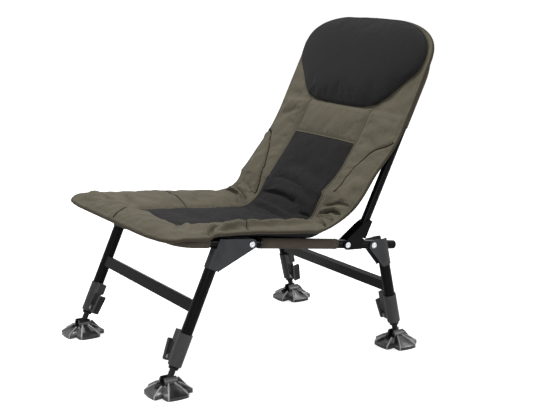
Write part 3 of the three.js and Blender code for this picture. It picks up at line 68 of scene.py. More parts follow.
# Places in the chair, in metres and radians, as the solids have them
RAIL_TILT = math.radians(7.3)
RECLINE = math.radians(18)
FRONT_PIVOT = Vector((0, -0.135311, 0.292))
HALF_SPACING = 0.216
RAIL_RADIUS = 0.010
RAIL_BEND = 0.038
FRONT_REACH = 0.169
RAIL_END = 0.389
BACK_PIVOT = 0.251
BACK_SETBACK = 0.030
BACK_FOOT = 0.029
BACK_TOP = 0.512
BACK_BEND = 0.108
SLEEVE_RADIUS = 0.0115
LEG_RADIUS = 0.0125
INNER_LEG_RADIUS = 0.0109
LEG_SIDES = ("left", "right")
SIDE_SIGN = {"left": 1, "right": -1}
FRONT_LEG_DOWN = Vector((0, -0.3987491, -0.9170601))
REAR_LEG_DOWN = Vector((0, 0.2419219, -0.9702957))
FRONT_BALL = Vector((0.216, -0.324706, 0.025))
REAR_BALL = Vector((0.216, 0.273096, 0.025))

# The mattress's outline along the seat and up the back, and across them
SEAT_FRONT = -0.218
SEAT_PANEL_FRONT = -0.112
SEAT_END = 0.150
BACK_START = 0.090
BACK_PANEL_TOP = 0.225
BACK_BAND_TOP = 0.313
BACK_END = 0.536
MATTRESS_HALF = 0.245
BAND_HALF = 0.240
SEAT_SEAM = 0.105
BACK_SEAM = 0.135

# The seat part's heights above the rails, and its thin edge
EDGE_THICKNESS = 0.008
EDGE_HEIGHT = 0.030
EDGE_FALL_AHEAD = 0.016
EDGE_RISE_BEHIND = 0.006
EDGE_RISE_START = 0.020
SEAM_HEIGHT_FRONT = 0.009
SEAM_HEIGHT_END = 0.022
NOSE_DROOP = 0.013
SLEEVES_FROM = 0.1994
REST_GAP = 0.0005

# The sling's sag, and the cloth behind the back
SLING_SAG = 0.031
BACK_SAG = 0.014
BACK_CLOTH_START = 0.292

# The back part's padding, its rounded head and how its foot leads forward
BACK_GAP = 0.0008
BACK_PADDING = 0.018
HEAD_PADDING = 0.012
HEAD_BLEND = 0.012
HEAD_ROUND_START = 0.430
HEAD_FLAT_HALF = 0.060
BACK_LEAD = 0.044
PANEL_SINK_SHARE = 0.22
PANEL_SINK_WIDTH = 0.120
TAUT_LEAD = 0.010
TAUT_FROM = 0.160
TAUT_WIDTH = 0.080
TAUT_UP = 0.165
TAUT_SPREAD = 0.055

# The turn between seat and back: its path, the reach of its curve and how its edges draw in
CREASE_LENGTH = 0.130
CREASE_HANDLE = 0.056
CREASE_SUNK = 0.080
CREASE_EDGE_HANDLE = 0.042
CREASE_DRAW = 0.016
FAR_DRAW = 0.013
FAR_DRAW_UP = 0.085
FAR_DRAW_SPREAD = 0.050
TURN_SEAM = 0.117
WIDEN_START = 0.060
WIDEN_END = 0.135

# The seat's corners: where the cloth pulls, and how far; the step in the left border at its lap
TIP_X = -0.207
TIP_SPREAD = 0.030
TIP_SHARPENED = 0.004
TIP_DRAWN_IN = 0.010
BLUNT_X = 0.220
BLUNT_SPREAD = 0.040
BLUNTED = 0.012
LAP_AT = -0.106
LAP_LENGTH = 0.006
LAP_STEP = 0.0036

# Rows of the mattress's grid in each stretch, and columns
FRONT_ROWS = 26
SEAT_ROWS = 60
CREASE_ROWS = 44
PANEL_ROWS = 38
BAND_ROWS = 20
HEAD_ROWS = 34
PANEL_COLUMNS = 44
BORDER_COLUMNS = 34

# Cloth: the webbing's thickness, the sleeves' roundness, and the share of its pitch a stitch fills
WEBBING_THICKNESS = 0.0011
SLEEVE_SIDES = 32
STITCH_SHARE = 0.62
STITCH_LIFT = 0.0001
STITCH_RADIUS = 0.00042
STITCH_INSET = 2
HEM_STITCH_LIFT = 0.0002
HEM_STITCH_RADIUS = 0.00045
SWELL_FRAMES = 20
PANEL_SLACK = 0.003
BORDER_SLACK = 0.010
SEAM_WIDTH = 0.0055
CORD_LIFT = 0.0012
EDGE_CORD_STEP = 0.005
SEAM_CORD_STEP = 0.004

# What holds the mattress's cloth as it swells: a fold this deep, and the pillow on top of it
HOLDING_DEPTH = 0.0035
HELD_BY_PILLOW_OVER = 0.022

# The pillow on the back: where it begins on the flat cloth and up the back, its middle and edge
PILLOW_PATH = 0.700
PILLOW_FOOT = 0.3130
PILLOW_MIDDLE = 0.428
PILLOW_EDGE = 0.005
PILLOW_STEPS = 56
PILLOW_SLACK = 0.004
PILLOW_MOST_SWELL = 0.006


def linear(red, green, blue):
    """A colour given in screen values from 0 to 255, as the shaders take it."""
    return tuple(
        c / 12.92 if c <= 0.04045 else ((c + 0.055) / 1.055) ** 2.4
        for c in (red / 255, green / 255, blue / 255)
    )


def clamp(value, low=0.0, high=1.0):
    return max(low, min(high, value))


def lerp(start, end, share):
    return start + (end - start) * share


def ease(share):
    share = clamp(share)
    return share * share * (3 - 2 * share)


def bulge(share):
    return 4 * share * (1 - share)


def hump(value, middle, spread):
    """1 at the middle, falling away smoothly on both sides."""
    return math.exp(-(((value - middle) / spread) ** 2))


def seat_place(x, along, above):
    """A point by its place along the seat rails and above them."""
    cosine, sine = math.cos(RAIL_TILT), math.sin(RAIL_TILT)
    return FRONT_PIVOT + Vector(
        (x, along * cosine + above * sine, above * cosine - along * sine)
    )


def back_place(x, behind, up):
    """A point by its place up the back and behind the back's rivets."""
    cosine, sine = math.cos(RECLINE), math.sin(RECLINE)
    return seat_place(
        x, BACK_PIVOT + behind * cosine + up * sine, up * cosine - behind * sine
    )


def seat_normal():
    return (seat_place(0, 0, 1) - seat_place(0, 0, 0)).normalized()


def back_normal():
    return (back_place(0, -1, 0) - back_place(0, 0, 0)).normalized()


def border_share(x, seam, edge):
    return clamp((abs(x) - seam) / (edge - seam))


def sling_height(x, along):
    sag = SLING_SAG * ease((along + FRONT_REACH) / FRONT_REACH)
    return SLEEVE_RADIUS - sag * (1 - (x / HALF_SPACING) ** 2)


def seat_half_width(along):
    ahead = max(0, RAIL_BEND - (along - SEAT_FRONT))
    return MATTRESS_HALF - RAIL_BEND + math.sqrt(max(0, RAIL_BEND**2 - ahead**2))


def seat_under(x, along):
    """The mattress's underside: on the sling, raised at its edge and drooping over the front."""
    rest = (SLEEVE_RADIUS if abs(x) >= SLEEVES_FROM else sling_height(x, along)) + REST_GAP
    behind = ease((along - EDGE_RISE_START) / (SEAT_END - EDGE_RISE_START))
    edge = EDGE_HEIGHT - EDGE_FALL_AHEAD * clamp(along / SEAT_FRONT) + EDGE_RISE_BEHIND * behind
    raised = max(0, edge - EDGE_THICKNESS - rest) * border_share(x, HALF_SPACING, MATTRESS_HALF)
    droop = clamp((along + FRONT_REACH) / (SEAT_FRONT + FRONT_REACH)) ** 1.5
    return rest + raised * (1 - droop) - NOSE_DROOP * droop


def seat_over(x, along, crown):
    """The mattress's upper face on the seat: a dished panel within crowned borders."""
    share = clamp((along - SEAT_PANEL_FRONT) / (SEAT_END - SEAT_PANEL_FRONT))
    seam = lerp(SEAM_HEIGHT_FRONT, SEAM_HEIGHT_END, share)
    aside = border_share(x, SEAT_SEAM, seat_half_width(along))
    ahead = clamp((SEAT_PANEL_FRONT - along) / (SEAT_PANEL_FRONT - SEAT_FRONT))
    border = min(1, (aside**4 + ahead**4) ** 0.25)
    if border > 0:
        edge = seat_under(MATTRESS_HALF, along) + EDGE_THICKNESS
        return lerp(seam, edge, border) + crown * bulge(border)
    return seam + crown / 2 * (1 - (x / SEAT_SEAM) ** 2) * bulge(min(share, 0.5))


def back_half_width(up):
    share = clamp((up - BACK_START) / (BACK_PANEL_TOP - BACK_START))
    lower = lerp(MATTRESS_HALF, BAND_HALF, share)
    rounded = clamp((up - HEAD_ROUND_START) / (BACK_END - HEAD_ROUND_START))
    return HEAD_FLAT_HALF + (lower - HEAD_FLAT_HALF) * math.sqrt(max(0, 1 - rounded**3))


def hoop_half_width(up):
    """Half the distance between the back tube's two sides at a height."""
    share = clamp((up - BACK_TOP) / BACK_BEND + 1)
    return HALF_SPACING - BACK_BEND * (1 - math.sqrt(1 - share**2))


def back_sag(x, up):
    hang = ease((BACK_TOP - RAIL_RADIUS - up) / BACK_BEND)
    return BACK_SAG * hang * (1 - min(1, abs(x) / hoop_half_width(up)) ** 2)


def back_lead(x, up):
    """How far the back's foot leads forward: less where the panel sinks, more at the left edge."""
    lead = BACK_LEAD * clamp((BACK_CLOTH_START - up) / (BACK_CLOTH_START - BACK_START)) ** 2
    sunk = ease((MATTRESS_HALF - abs(x)) / PANEL_SINK_WIDTH)
    taut = ease((x - TAUT_FROM) / TAUT_WIDTH) * hump(up, TAUT_UP, TAUT_SPREAD)
    return lead * (1 - PANEL_SINK_SHARE * sunk) + TAUT_LEAD * taut


def back_rest(x, up):
    """The rear of the mattress where no cloth sags behind it."""
    return BACK_SETBACK - SLEEVE_RADIUS - BACK_GAP - back_lead(x, up)


def back_rear(x, up):
    return back_rest(x, up) + back_sag(x, up)


def back_front(x, up, crown):
    """The mattress's front on the back: a panel within crowned borders, flat under the pillow."""
    half = back_half_width(up)
    into_head = clamp((up - BACK_BAND_TOP + HEAD_BLEND) / HEAD_BLEND)
    crown = crown / 2 * (1 - into_head)
    rear = back_rest(x, up)
    seam = rear - lerp(BACK_PADDING, HEAD_PADDING, into_head)
    seam_x = min(BACK_SEAM, half / 2)
    aside = border_share(x, seam_x, half)
    if aside > 0:
        return lerp(seam, rear - EDGE_THICKNESS, aside) - crown * bulge(aside)
    return seam - crown * (1 - (x / seam_x) ** 2)


class Term:
    """A socket in a shader, so that maths on it reads as Python."""

    def __init__(self, finish, socket):
        self.finish = finish
        self.socket = socket

    def math(self, operation, first, second=0.0):
        return self.finish.node(
            "ShaderNodeMath", {"operation": operation}, {0: first, 1: second}
        ).out("Value")

    def __add__(self, other):
        return self.math("ADD", self, other)

    def __sub__(self, other):
        return self.math("SUBTRACT", self, other)

    def __rsub__(self, other):
        return self.math("SUBTRACT", other, self)

    def __mul__(self, other):
        return self.math("MULTIPLY", self, other)

    def __truediv__(self, other):
        return self.math("DIVIDE", self, other)

    def floor(self):
        return self.math("FLOOR", self)

    def sine(self):
        return self.math("SINE", self)

    def size(self):
        return self.math("ABSOLUTE", self)

    def parity(self):
        """0 or 1 by turns, as the whole number grows."""
        return self.math("MODULO", self.size(), 2.0)

    def most(self, other):
        return self.math("MAXIMUM", self, other)

    def band(self, low, high):
        """0 below low, 1 above high, and smooth between them."""
        return self.finish.node(
            "ShaderNodeMapRange",
            {"interpolation_type": "SMOOTHSTEP"},
            {"Value": self, "From Min": low, "From Max": high},
        ).out("Result")


class Made:
    """A node of a finish, with its outputs by name."""

    def __init__(self, finish, node):
        self.finish = finish
        self.node = node

    def out(self, name):
        return Term(self.finish, self.node.outputs[name])


class Finish:
    """A material, or the world, whose nodes are added one at a time."""

    def __init__(self, owner):
        owner.use_nodes = True
        self.owner = owner
        self.tree = owner.node_tree
        self.tree.nodes.clear()

    def node(self, kind, settings=None, values=None):
        node = self.tree.nodes.new(kind)
        for name, value in (settings or {}).items():
            setattr(node, name, value)
        for name, value in (values or {}).items():
            socket = node.inputs[name]
            if isinstance(value, Term):
                self.tree.links.new(value.socket, socket)
            else:
                socket.default_value = value
        return Made(self, node)

    def place(self):
        """The point on the object, in metres."""
        return self.node("ShaderNodeTexCoord").out("Object")

    def cloth_place(self):
        """The point on the flat cloth, in metres, across and along it."""
        return self.node("ShaderNodeUVMap", {"uv_map": "cloth"}).out("UV")

    def apart(self, place):
        split = self.node("ShaderNodeSeparateXYZ", None, {"Vector": place})
        return split.out("X"), split.out("Y"), split.out("Z")

    def stretched(self, place, scale):
        return self.node(
            "ShaderNodeMapping", None, {"Vector": place, "Scale": scale}
        ).out("Vector")

    def noise(self, place, scale, detail=2.0, distortion=0.0):
        return self.node(
            "ShaderNodeTexNoise",
            None,
            {"Vector": place, "Scale": scale, "Detail": detail, "Distortion": distortion},
        ).out("Fac")

    def cells(self, place, scale):
        return self.node(
            "ShaderNodeTexVoronoi", None, {"Vector": place, "Scale": scale}
        ).out("Distance")

    def blend(self, share, first, second):
        """A colour between two colours."""
        values = {0: share, 6: first, 7: second}
        return self.node("ShaderNodeMix", {"data_type": "RGBA"}, values).out(2)

    def bump(self, height, distance, strength=1.0, under=None):
        values = {"Height": height, "Distance": distance, "Strength": strength}
        if under is not None:
            values["Normal"] = under
        return self.node("ShaderNodeBump", None, values).out("Normal")

    def surface(self, values):
        shader = self.node("ShaderNodeBsdfPrincipled", None, values)
        self.node("ShaderNodeOutputMaterial", None, {"Surface": shader.out("BSDF")})
        return self.owner


# The pale grey painted on the feet's ribs as a highlight
RIB_HIGHLIGHT = (0.60, 0.60, 0.61, 1.0)


def solid(colour, share):
    """A colour times a share, as a shader's socket takes it."""
    return (colour[0] * share, colour[1] * share, colour[2] * share, 1.0)


def cloth_finish(name, colour, weave, depth, sheen, rumple, fleck):
    """Woven cloth: over-and-under threads, slubs, faded patches and soft rumples."""
    pitch = bpy.context.scene.chair_sizes.weave * weave
    finish = Finish(bpy.data.materials.new(name))
    flat = finish.cloth_place()
    place = finish.place()
    across, along, _ = finish.apart(flat)
    over = (across * (math.pi / pitch)).sine().size()
    under = (along * (math.pi / pitch)).sine().size()
    turn = ((across / pitch).floor() + (along / pitch).floor()).parity()
    thread = over * turn + under * (1 - turn)
    warp = finish.noise(finish.stretched(flat, (900, 60, 1)), 1.0, 1.0)
    weft = finish.noise(finish.stretched(flat, (60, 900, 1)), 1.0, 1.0)
    slub = warp * turn + weft * (1 - turn)
    fade = finish.noise(place, 14.0, 3.0, 0.6)
    flecks = finish.noise(place, 520.0, 3.0)
    yarns = finish.noise(finish.stretched(place, (310, 190, 260)), 1.0, 2.0)
    shade = (slub * 0.4 + fade * 0.4 + thread * 0.2 + flecks * 0.5 - 0.30).band(0.2, 0.8)
    worn = finish.blend(shade, solid(colour, 1 - fleck), solid(colour, 1 + fleck))
    warm = (colour[0] * (1 + fleck), colour[1], colour[2] * (1 - fleck), 1.0)
    lit = finish.blend(yarns.band(0.52, 0.68) * 0.6, worn, warm)
    soft = finish.noise(finish.stretched(place, (26, 15, 20)), 1.0, 3.0, 1.1)
    normal = finish.bump(soft, rumple, 0.5)
    normal = finish.bump(thread + slub * 0.6, depth, 0.7, normal)
    return finish.surface(
        {
            "Base Color": lit,
            "Roughness": fade * 0.12 + 0.80,
            "Normal": normal,
            "Specular IOR Level": 0.12,
            "Sheen Weight": sheen,
            "Sheen Roughness": 0.5,
        }
    )


def lacquer_finish(name, colour, roughness, grain, gloss):
    """Powder coat: a fine orange peel, dust in it and a few light scuffs."""
    finish = Finish(bpy.data.materials.new(name))
    place = finish.place()
    peel = finish.noise(place, 900.0, 2.0)
    dust = finish.noise(place, 45.0, 4.0)
    scuffs = finish.noise(finish.stretched(place, (260, 40, 40)), 1.0, 2.0, 0.4)
    mask = scuffs.band(0.66, 0.74)
    tone = finish.blend(dust.band(0.3, 0.7), solid(colour, 0.85), solid(colour, 1.15))
    tone = finish.blend(mask * 0.35, tone, solid(colour, 2.2))
    return finish.surface(
        {
            "Base Color": tone,
            "Roughness": dust * 0.14 + mask * 0.12 + (roughness - 0.07),
            "Normal": finish.bump(peel, grain, 0.5),
            "Specular IOR Level": gloss,
        }
    )


def zinc_finish(name, colour, shade):
    """Bright zinc: brushed rings in it and a little haze."""
    finish = Finish(bpy.data.materials.new(name))
    place = finish.place()
    haze = finish.noise(place, 260.0, 3.0)
    brushed = finish.noise(finish.stretched(place, (300, 2600, 2600)), 1.0, 2.0)
    return finish.surface(
        {
            "Base Color": finish.blend(haze, solid(colour, 0.82 * shade), solid(colour, shade)),
            "Metallic": 1.0,
            "Roughness": haze * 0.16 + brushed * 0.10 + 0.18,
            "Normal": finish.bump(brushed, 0.00004, 0.6),
        }
    )


def moulded_finish(name, colour, roughness, grain, grain_depth, gloss):
    """Moulded plastic: a fine grain, flow marks, handling shine and a painted highlight on the raised ribs.
    """
    finish = Finish(bpy.data.materials.new(name))
    place = finish.place()
    cells = finish.cells(place, 1 / grain)
    flow = finish.noise(finish.stretched(place, (30, 30, 12)), 1.0, 3.0, 0.8)
    rubbed = finish.noise(place, 70.0, 3.0)
    tone = finish.blend(flow.band(0.3, 0.7), solid(colour, 0.88), solid(colour, 1.14))
    # The feet's ribs get a painted highlight in pale grey, patchy with the handling noise
    ribs = finish.node("ShaderNodeAttribute", {"attribute_name": "rubbed"}).out("Fac")
    tone = finish.blend(ribs * (rubbed * 0.4 + 0.5), tone, RIB_HIGHLIGHT)
    return finish.surface(
        {
            "Base Color": tone,
            "Roughness": rubbed * 0.16 + flow * 0.08 + (roughness - 0.12),
            "Normal": finish.bump(cells, grain_depth, 0.6),
            "Specular IOR Level": gloss,
        }
    )


def cord_finish(name, colour, shade):
    """Twisted piping: slanted strands round the cord."""
    finish = Finish(bpy.data.materials.new(name))
    place = finish.place()
    x, y, z = finish.apart(place)
    strand = ((x + y + z * 1.3) * 2400.0).sine()
    fuzz = finish.noise(place, 600.0, 2.0)
    # A shade below 1 darkens the cord, which paints shade on it
    tone = finish.blend(fuzz, solid(colour, 0.8 * shade), solid(colour, 1.25 * shade))
    return finish.surface(
        {
            "Base Color": tone,
            "Roughness": fuzz * 0.1 + 0.8,
            "Normal": finish.bump(strand + fuzz, 0.0003, 0.6),
            "Specular IOR Level": 0.12,
        }
    )


# Each finish: how it is made, its colour in the sidebar, and what its maker takes in turn
FINISHES = {
    "olive_canvas": (cloth_finish, "olive", (1.0, 0.0003, 0.05, 0.004, 0.30)),
    "black_fleece": (cloth_finish, "panel", (0.8, 0.0003, 0.04, 0.004, 0.34)),
    "pillow_fleece": (cloth_finish, "pillow", (0.8, 0.0003, 0.03, 0.002, 0.26)),
    "black_lining": (cloth_finish, "lining", (1.0, 0.0002, 0.0, 0.003, 0.15)),
    "brown_webbing": (cloth_finish, "sling", (1.4, 0.0005, 0.05, 0.001, 0.20)),
    "edge_piping": (cord_finish, "piping", (1.0,)),
    # The border seams' cord: the piping colour at a third, as painted shade in the seams' creases
    "shaded_piping": (cord_finish, "piping", (0.35,)),
    "seam_piping": (cord_finish, "seam", (1.0,)),
    "thread": (cord_finish, "thread", (1.0,)),
    "black_powder_coat": (lacquer_finish, "frame", (0.27, 0.00005, 0.07)),
    "grey_powder_coat": (lacquer_finish, "bracket", (0.42, 0.00006, 0.30)),
    "bright_zinc": (zinc_finish, "zinc", (1.0,)),
    "dull_zinc": (zinc_finish, "zinc", (0.3,)),
    "lever_nylon": (moulded_finish, "lever", (0.44, 0.0009, 0.00006, 0.25)),
    "clamp_nylon": (moulded_finish, "clamp", (0.46, 0.0009, 0.00008, 0.15)),
    "cap_plastic": (moulded_finish, "cap", (0.42, 0.0007, 0.00005, 0.25)),
    "ribbed_foot": (moulded_finish, "foot", (0.30, 0.0008, 0.00004, 0.8)),
}


def finish_named(name):
    """A finish by its name, made once from the colours in the sidebar."""
    found = bpy.data.materials.get(name)
    if found:
        return found
    maker, tint, settings = FINISHES[name]
    return maker(name, getattr(bpy.context.scene.chair_colours, tint), *settings)


def object_from(name, shape, materials):
    """Ends a bmesh as a new object, smooth, with its finishes."""
    mesh = bpy.data.meshes.new(name)
    shape.to_mesh(mesh)
    shape.free()
    return object_of(name, mesh, materials)


def object_of(name, mesh, materials):
    mesh.name = name
    for finish in materials:
        mesh.materials.append(finish_named(finish))
    mesh.shade_smooth()
    piece = bpy.data.objects.new(name, mesh)
    bpy.context.scene.collection.objects.link(piece)
    return piece


def tube_shape(path, radius, sides, closed=False, capped=True):
    """A round tube along a line of points, as a bmesh."""
    curve = bpy.data.curves.new("path", "CURVE")
    curve.dimensions = "3D"
    spline = curve.splines.new("POLY")
    spline.points.add(len(path) - 1)
    for point, place in zip(spline.points, path):
        point.co = (*place, 1)
    spline.use_cyclic_u = closed
    curve.bevel_depth = radius
    curve.bevel_resolution = max(1, sides // 4 - 1)
    curve.use_fill_caps = capped and not closed
    curve.twist_mode = "MINIMUM"
    holder = bpy.data.objects.new("path", curve)
    bpy.context.scene.collection.objects.link(holder)
    graph = bpy.context.evaluated_depsgraph_get()
    mesh = bpy.data.meshes.new_from_object(holder.evaluated_get(graph))
    shape = bmesh.new()
    shape.from_mesh(mesh)
    bmesh.ops.remove_doubles(shape, verts=shape.verts, dist=1e-6)
    bmesh.ops.recalc_face_normals(shape, faces=shape.faces)
    bpy.data.objects.remove(holder)
    bpy.data.curves.remove(curve)
    bpy.data.meshes.remove(mesh)
    return shape


def tube(name, path, radius, finish, sides, closed=False):
    return object_from(name, tube_shape(path, radius, sides, closed), [finish])


def open_sleeve(name, path):
    """A cloth sleeve along a tube, open at its ends, with its thickness inward."""
    shape = tube_shape(path, SLEEVE_RADIUS, SLEEVE_SIDES, capped=False)
    layer = shape.loops.layers.uv.new("cloth")
    for face in shape.faces:
        for loop in face.loops:
            x, y, z = loop.vert.co
            loop[layer].uv = (x + y, z + y)
    piece = object_from(name, shape, ["brown_webbing"])
    wall_of(piece, WEBBING_THICKNESS)
    return piece


def wall_of(piece, thickness):
    """Gives a cloth or a skin its thickness, on the far side of its faces."""
    wall = piece.modifiers.new("Wall", "SOLIDIFY")
    wall.thickness = thickness
    wall.offset = -1


def joined(name, shapes, finish):
    """Several bmeshes as one object."""
    whole = bmesh.new()
    for shape in shapes:
        mesh = bpy.data.meshes.new("part")
        shape.to_mesh(mesh)
        shape.free()
        whole.from_mesh(mesh)
        bpy.data.meshes.remove(mesh)
    return object_from(name, whole, [finish])


def merged_copy(node):
    """A CAD node's own shape with its triangles joined into flat faces, as a bmesh."""
    shape = bmesh.new()
    shape.from_mesh(frame["nodes"][node].data)
    bmesh.ops.remove_doubles(shape, verts=shape.verts, dist=1e-5)
    bmesh.ops.dissolve_limit(
        shape,
        angle_limit=math.radians(0.6),
        use_dissolve_boundaries=False,
        verts=shape.verts,
        edges=shape.edges,
        delimit={"NORMAL"},
    )
    return shape


def softened(piece, width):
    """Rounds a piece's sharp edges and shades the rest smoothly."""
    bevel = piece.modifiers.new("Edges", "BEVEL")
    bevel.width = width
    bevel.segments = 2
    bevel.limit_method = "ANGLE"
    bevel.angle_limit = math.radians(28)
    bevel.use_clamp_overlap = True
    weighted = piece.modifiers.new("Shading", "WEIGHTED_NORMAL")
    weighted.keep_sharp = True
    return piece


def settle(piece, body, slot, *nodes):
    """Puts a piece on its body and hides the solids that it stands for. Its slot is not used."""
    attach(piece, body)
    if nodes:
        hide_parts(*nodes)
    return piece


def refined(node, body, slot, finish, width):
    """A CAD node's shape again, with rounded edges and its finish."""
    piece = object_from(f"{node}_made", merged_copy(node), [finish])
    settle(softened(piece, width), body, slot, node)


def reach_along(node, start, direction):
    """Where a node begins and ends along a line through it."""
    places = np.array([v.co for v in frame["nodes"][node].data.vertices])
    along = (places - np.array(start)) @ np.array(direction)
    return float(along.min()), float(along.max())


def stitch_places(path, normals, pitch, lift):
    """Where each stitch of a row lies on a cloth, and the ways along, across and out of it."""
    found = []
    travelled, due = 0.0, pitch / 2
    for index in range(len(path) - 1):
        start, end = path[index], path[index + 1]
        step = (end - start).length
        if step < 1e-7:
            continue
        along = (end - start) / step
        while due <= travelled + step:
            share = (due - travelled) / step
            up = normals[index].lerp(normals[index + 1], share).normalized()
            aside = up.cross(along).normalized()
            found.append((start.lerp(end, share) + up * lift, along, aside, up))
            due += pitch
        travelled += step
    return found


def stitches_of(name, found, pitch, radius):
    """One mesh of many short stitches, each a copy of the same small bead."""
    bead = bmesh.new()
    bmesh.ops.create_uvsphere(bead, u_segments=6, v_segments=4, radius=1)
    half = pitch * STITCH_SHARE / 2
    unit = np.array([v.co for v in bead.verts]) * (half, radius, radius)
    corners = [[v.index for v in face.verts] for face in bead.faces]
    bead.free()
    turns = np.array([(along, aside, up) for _, along, aside, up in found])
    places = np.array([tuple(place) for place, _, _, _ in found])
    points = np.einsum("vk,nkc->nvc", unit, turns) + places[:, None, :]
    faces = [
        [corner + number * len(unit) for corner in face]
        for number in range(len(found))
        for face in corners
    ]
    mesh = bpy.data.meshes.new(name)
    mesh.from_pydata(points.reshape(-1, 3).tolist(), [], faces)
    mesh.validate()
    return object_of(name, mesh, ["thread"])


def swell(piece, held, slack, pressure, most):
    """Blows a shell up as cloth under light pressure, with no point moved further than most.

    held is 1 where a point stays put. slack is the share by which its cloth is too large.
    """
    scene = bpy.context.scene
    count = len(piece.data.vertices)
    most_slack = max(1e-6, float(np.max(slack)))
    pins = piece.vertex_groups.new(name="held")
    tight = piece.vertex_groups.new(name="tight")
    for index in range(count):
        pins.add([index], float(held[index]), "REPLACE")
        tight.add([index], 1 - float(slack[index]) / most_slack, "REPLACE")
    cloth = piece.modifiers.new("Cloth", "CLOTH")
    settings = cloth.settings
    settings.quality = 6
    settings.mass = 0.25
    settings.air_damping = 2
    settings.tension_stiffness = 18
    settings.compression_stiffness = 18
    settings.shear_stiffness = 6
    settings.bending_stiffness = 0.12
    settings.vertex_group_mass = "held"
    settings.vertex_group_shrink = "tight"
    settings.shrink_min = -most_slack
    settings.shrink_max = 0
    settings.use_pressure = True
    settings.uniform_pressure_force = pressure
    settings.effector_weights.gravity = 0
    cloth.collision_settings.use_collision = False
    cloth.point_cache.frame_start = 1
    cloth.point_cache.frame_end = SWELL_FRAMES
    rest = np.array([v.co for v in piece.data.vertices])
    for number in range(1, SWELL_FRAMES + 1):
        scene.frame_set(number)
    graph = bpy.context.evaluated_depsgraph_get()
    moved = np.array([v.co for v in piece.evaluated_get(graph).data.vertices])
    piece.modifiers.remove(cloth)
    piece.vertex_groups.clear()
    scene.frame_set(1)
    shift = moved - rest
    length = np.linalg.norm(shift, axis=1, keepdims=True)
    shift *= np.tanh(length / most) * most / np.maximum(length, 1e-9)
    shift *= (1 - np.asarray(held))[:, None]
    piece.data.vertices.foreach_set("co", (rest + shift).ravel())
    piece.data.update()


def line_distance(points, line):
    """How far each point of a plane is from a line, on which side of it and how far along it."""
    best = np.full(len(points), 1e9)
    side = np.zeros(len(points))
    place = np.zeros(len(points))
    line = np.asarray(line, float)
    lengths = np.linalg.norm(np.diff(line, axis=0), axis=1)
    total, passed = lengths.sum(), 0.0
    for start, end, length in zip(line[:-1], line[1:], lengths):
        if length == 0:
            continue
        way = (end - start) / length
        offset = points - start
        along = np.clip(offset @ way, 0, length)
        gap = offset - along[:, None] * way
        far = np.linalg.norm(gap, axis=1)
        nearer = far < best
        best[nearer] = far[nearer]
        side[nearer] = np.sign(way[0] * offset[nearer, 1] - way[1] * offset[nearer, 0])
        place[nearer] = (passed + along[nearer]) / total
        passed += length
    return best, side, place


def crease(points, line, width, height, lip=0.0, lip_width=0.012, ends=0.15):
    """The rise of a cloth along a crease: a groove or ridge, with a lip on its left side."""
    far, side, place = line_distance(points, line)
    fade = np.clip(place / ends, 0, 1) * np.clip((1 - place) / ends, 0, 1)
    fade = fade * fade * (3 - 2 * fade)
    rise = height * np.exp(-((far / width) ** 2))
    left = np.where(side > 0, far, 1e3)
    rise = rise + lip * np.exp(-(((left - lip_width) / lip_width) ** 2))
    return rise * fade


def mattress_rows():
    """Each row of the mattress: its stretch, its place in that, and its place on the flat cloth."""
    rows = []

    def add(kind, start, end, path, steps, first=False):
        for step in range(0 if first else 1, steps + 1):
            share = step / steps
            span = CREASE_LENGTH if kind == "crease" else end - start
            rows.append((kind, lerp(start, end, share), path + span * share))

    seat = SEAT_END - SEAT_FRONT
    add("seat", SEAT_FRONT, SEAT_PANEL_FRONT, 0.0, FRONT_ROWS, True)
    add("seat", SEAT_PANEL_FRONT, SEAT_END, SEAT_PANEL_FRONT - SEAT_FRONT, SEAT_ROWS)
    add("crease", 0.0, 1.0, seat, CREASE_ROWS)
    back = seat + CREASE_LENGTH
    add("back", BACK_START, BACK_PANEL_TOP, back, PANEL_ROWS)
    add("back", BACK_PANEL_TOP, BACK_BAND_TOP, back + BACK_PANEL_TOP - BACK_START, BAND_ROWS)
    for step in range(1, HEAD_ROWS + 1):
        up = BACK_BAND_TOP + (BACK_END - BACK_BAND_TOP) * math.sin(step / HEAD_ROWS * math.pi / 2)
        rows.append(("back", up, back + up - BACK_START))
    return rows


def bezier(points, share):
    left = 1 - share
    first, second, third, fourth = points
    return (
        first * left**3
        + second * (3 * left**2 * share)
        + third * (3 * left * share**2)
        + fourth * share**3
    )


def seat_point(value, column, crown, top):
    x = column_x(column, SEAT_SEAM, seat_half_width(value))
    height = seat_over(x, value, crown) if top else seat_under(x, value)
    moved, aside = pulled(value, x)
    return seat_place(aside, moved, height + left_step(value, x)), seat_normal(), x


def back_point(value, column, crown, top):
    half = back_half_width(value)
    widened = clamp((value - WIDEN_START) / (WIDEN_END - WIDEN_START))
    x = column_x(column, lerp(SEAT_SEAM, min(BACK_SEAM, half / 2), widened), half)
    behind = back_front(x, value, crown) if top else back_rear(x, value)
    return back_place(x + far_draw(column, value), behind, value), back_normal(), x


def turn_point(value, column, crown, top):
    """A point of the turn: on a curve from the seat's end to the back's start."""
    x = column_x(column, lerp(SEAT_SEAM, TURN_SEAM, ease(value)), MATTRESS_HALF)
    height = seat_over(x, SEAT_END, crown) if top else seat_under(x, SEAT_END)
    behind = back_front(x, BACK_START, crown) if top else back_rear(x, BACK_START)
    first = seat_place(x, SEAT_END, height)
    last = back_place(x, behind, BACK_START)
    near_edge = ease(abs(column) * 2 - 1)
    handle = lerp(CREASE_HANDLE, CREASE_SUNK, ease((x + SEAT_SEAM) / (2 * SEAT_SEAM)))
    handle = lerp(handle, CREASE_EDGE_HANDLE, near_edge)
    onward = (seat_place(0, 1, 0) - seat_place(0, 0, 0)) * handle
    upward = (back_place(0, 0, 1) - back_place(0, 0, 0)) * handle
    place = bezier((first, first + onward, last - upward, last), value)
    drawn = math.copysign(CREASE_DRAW * near_edge, x) * math.sin(math.pi * value)
    place.x = x - drawn + far_draw(column, BACK_START) * ease(value)
    return place, seat_normal().lerp(back_normal(), ease(value)).normalized(), x


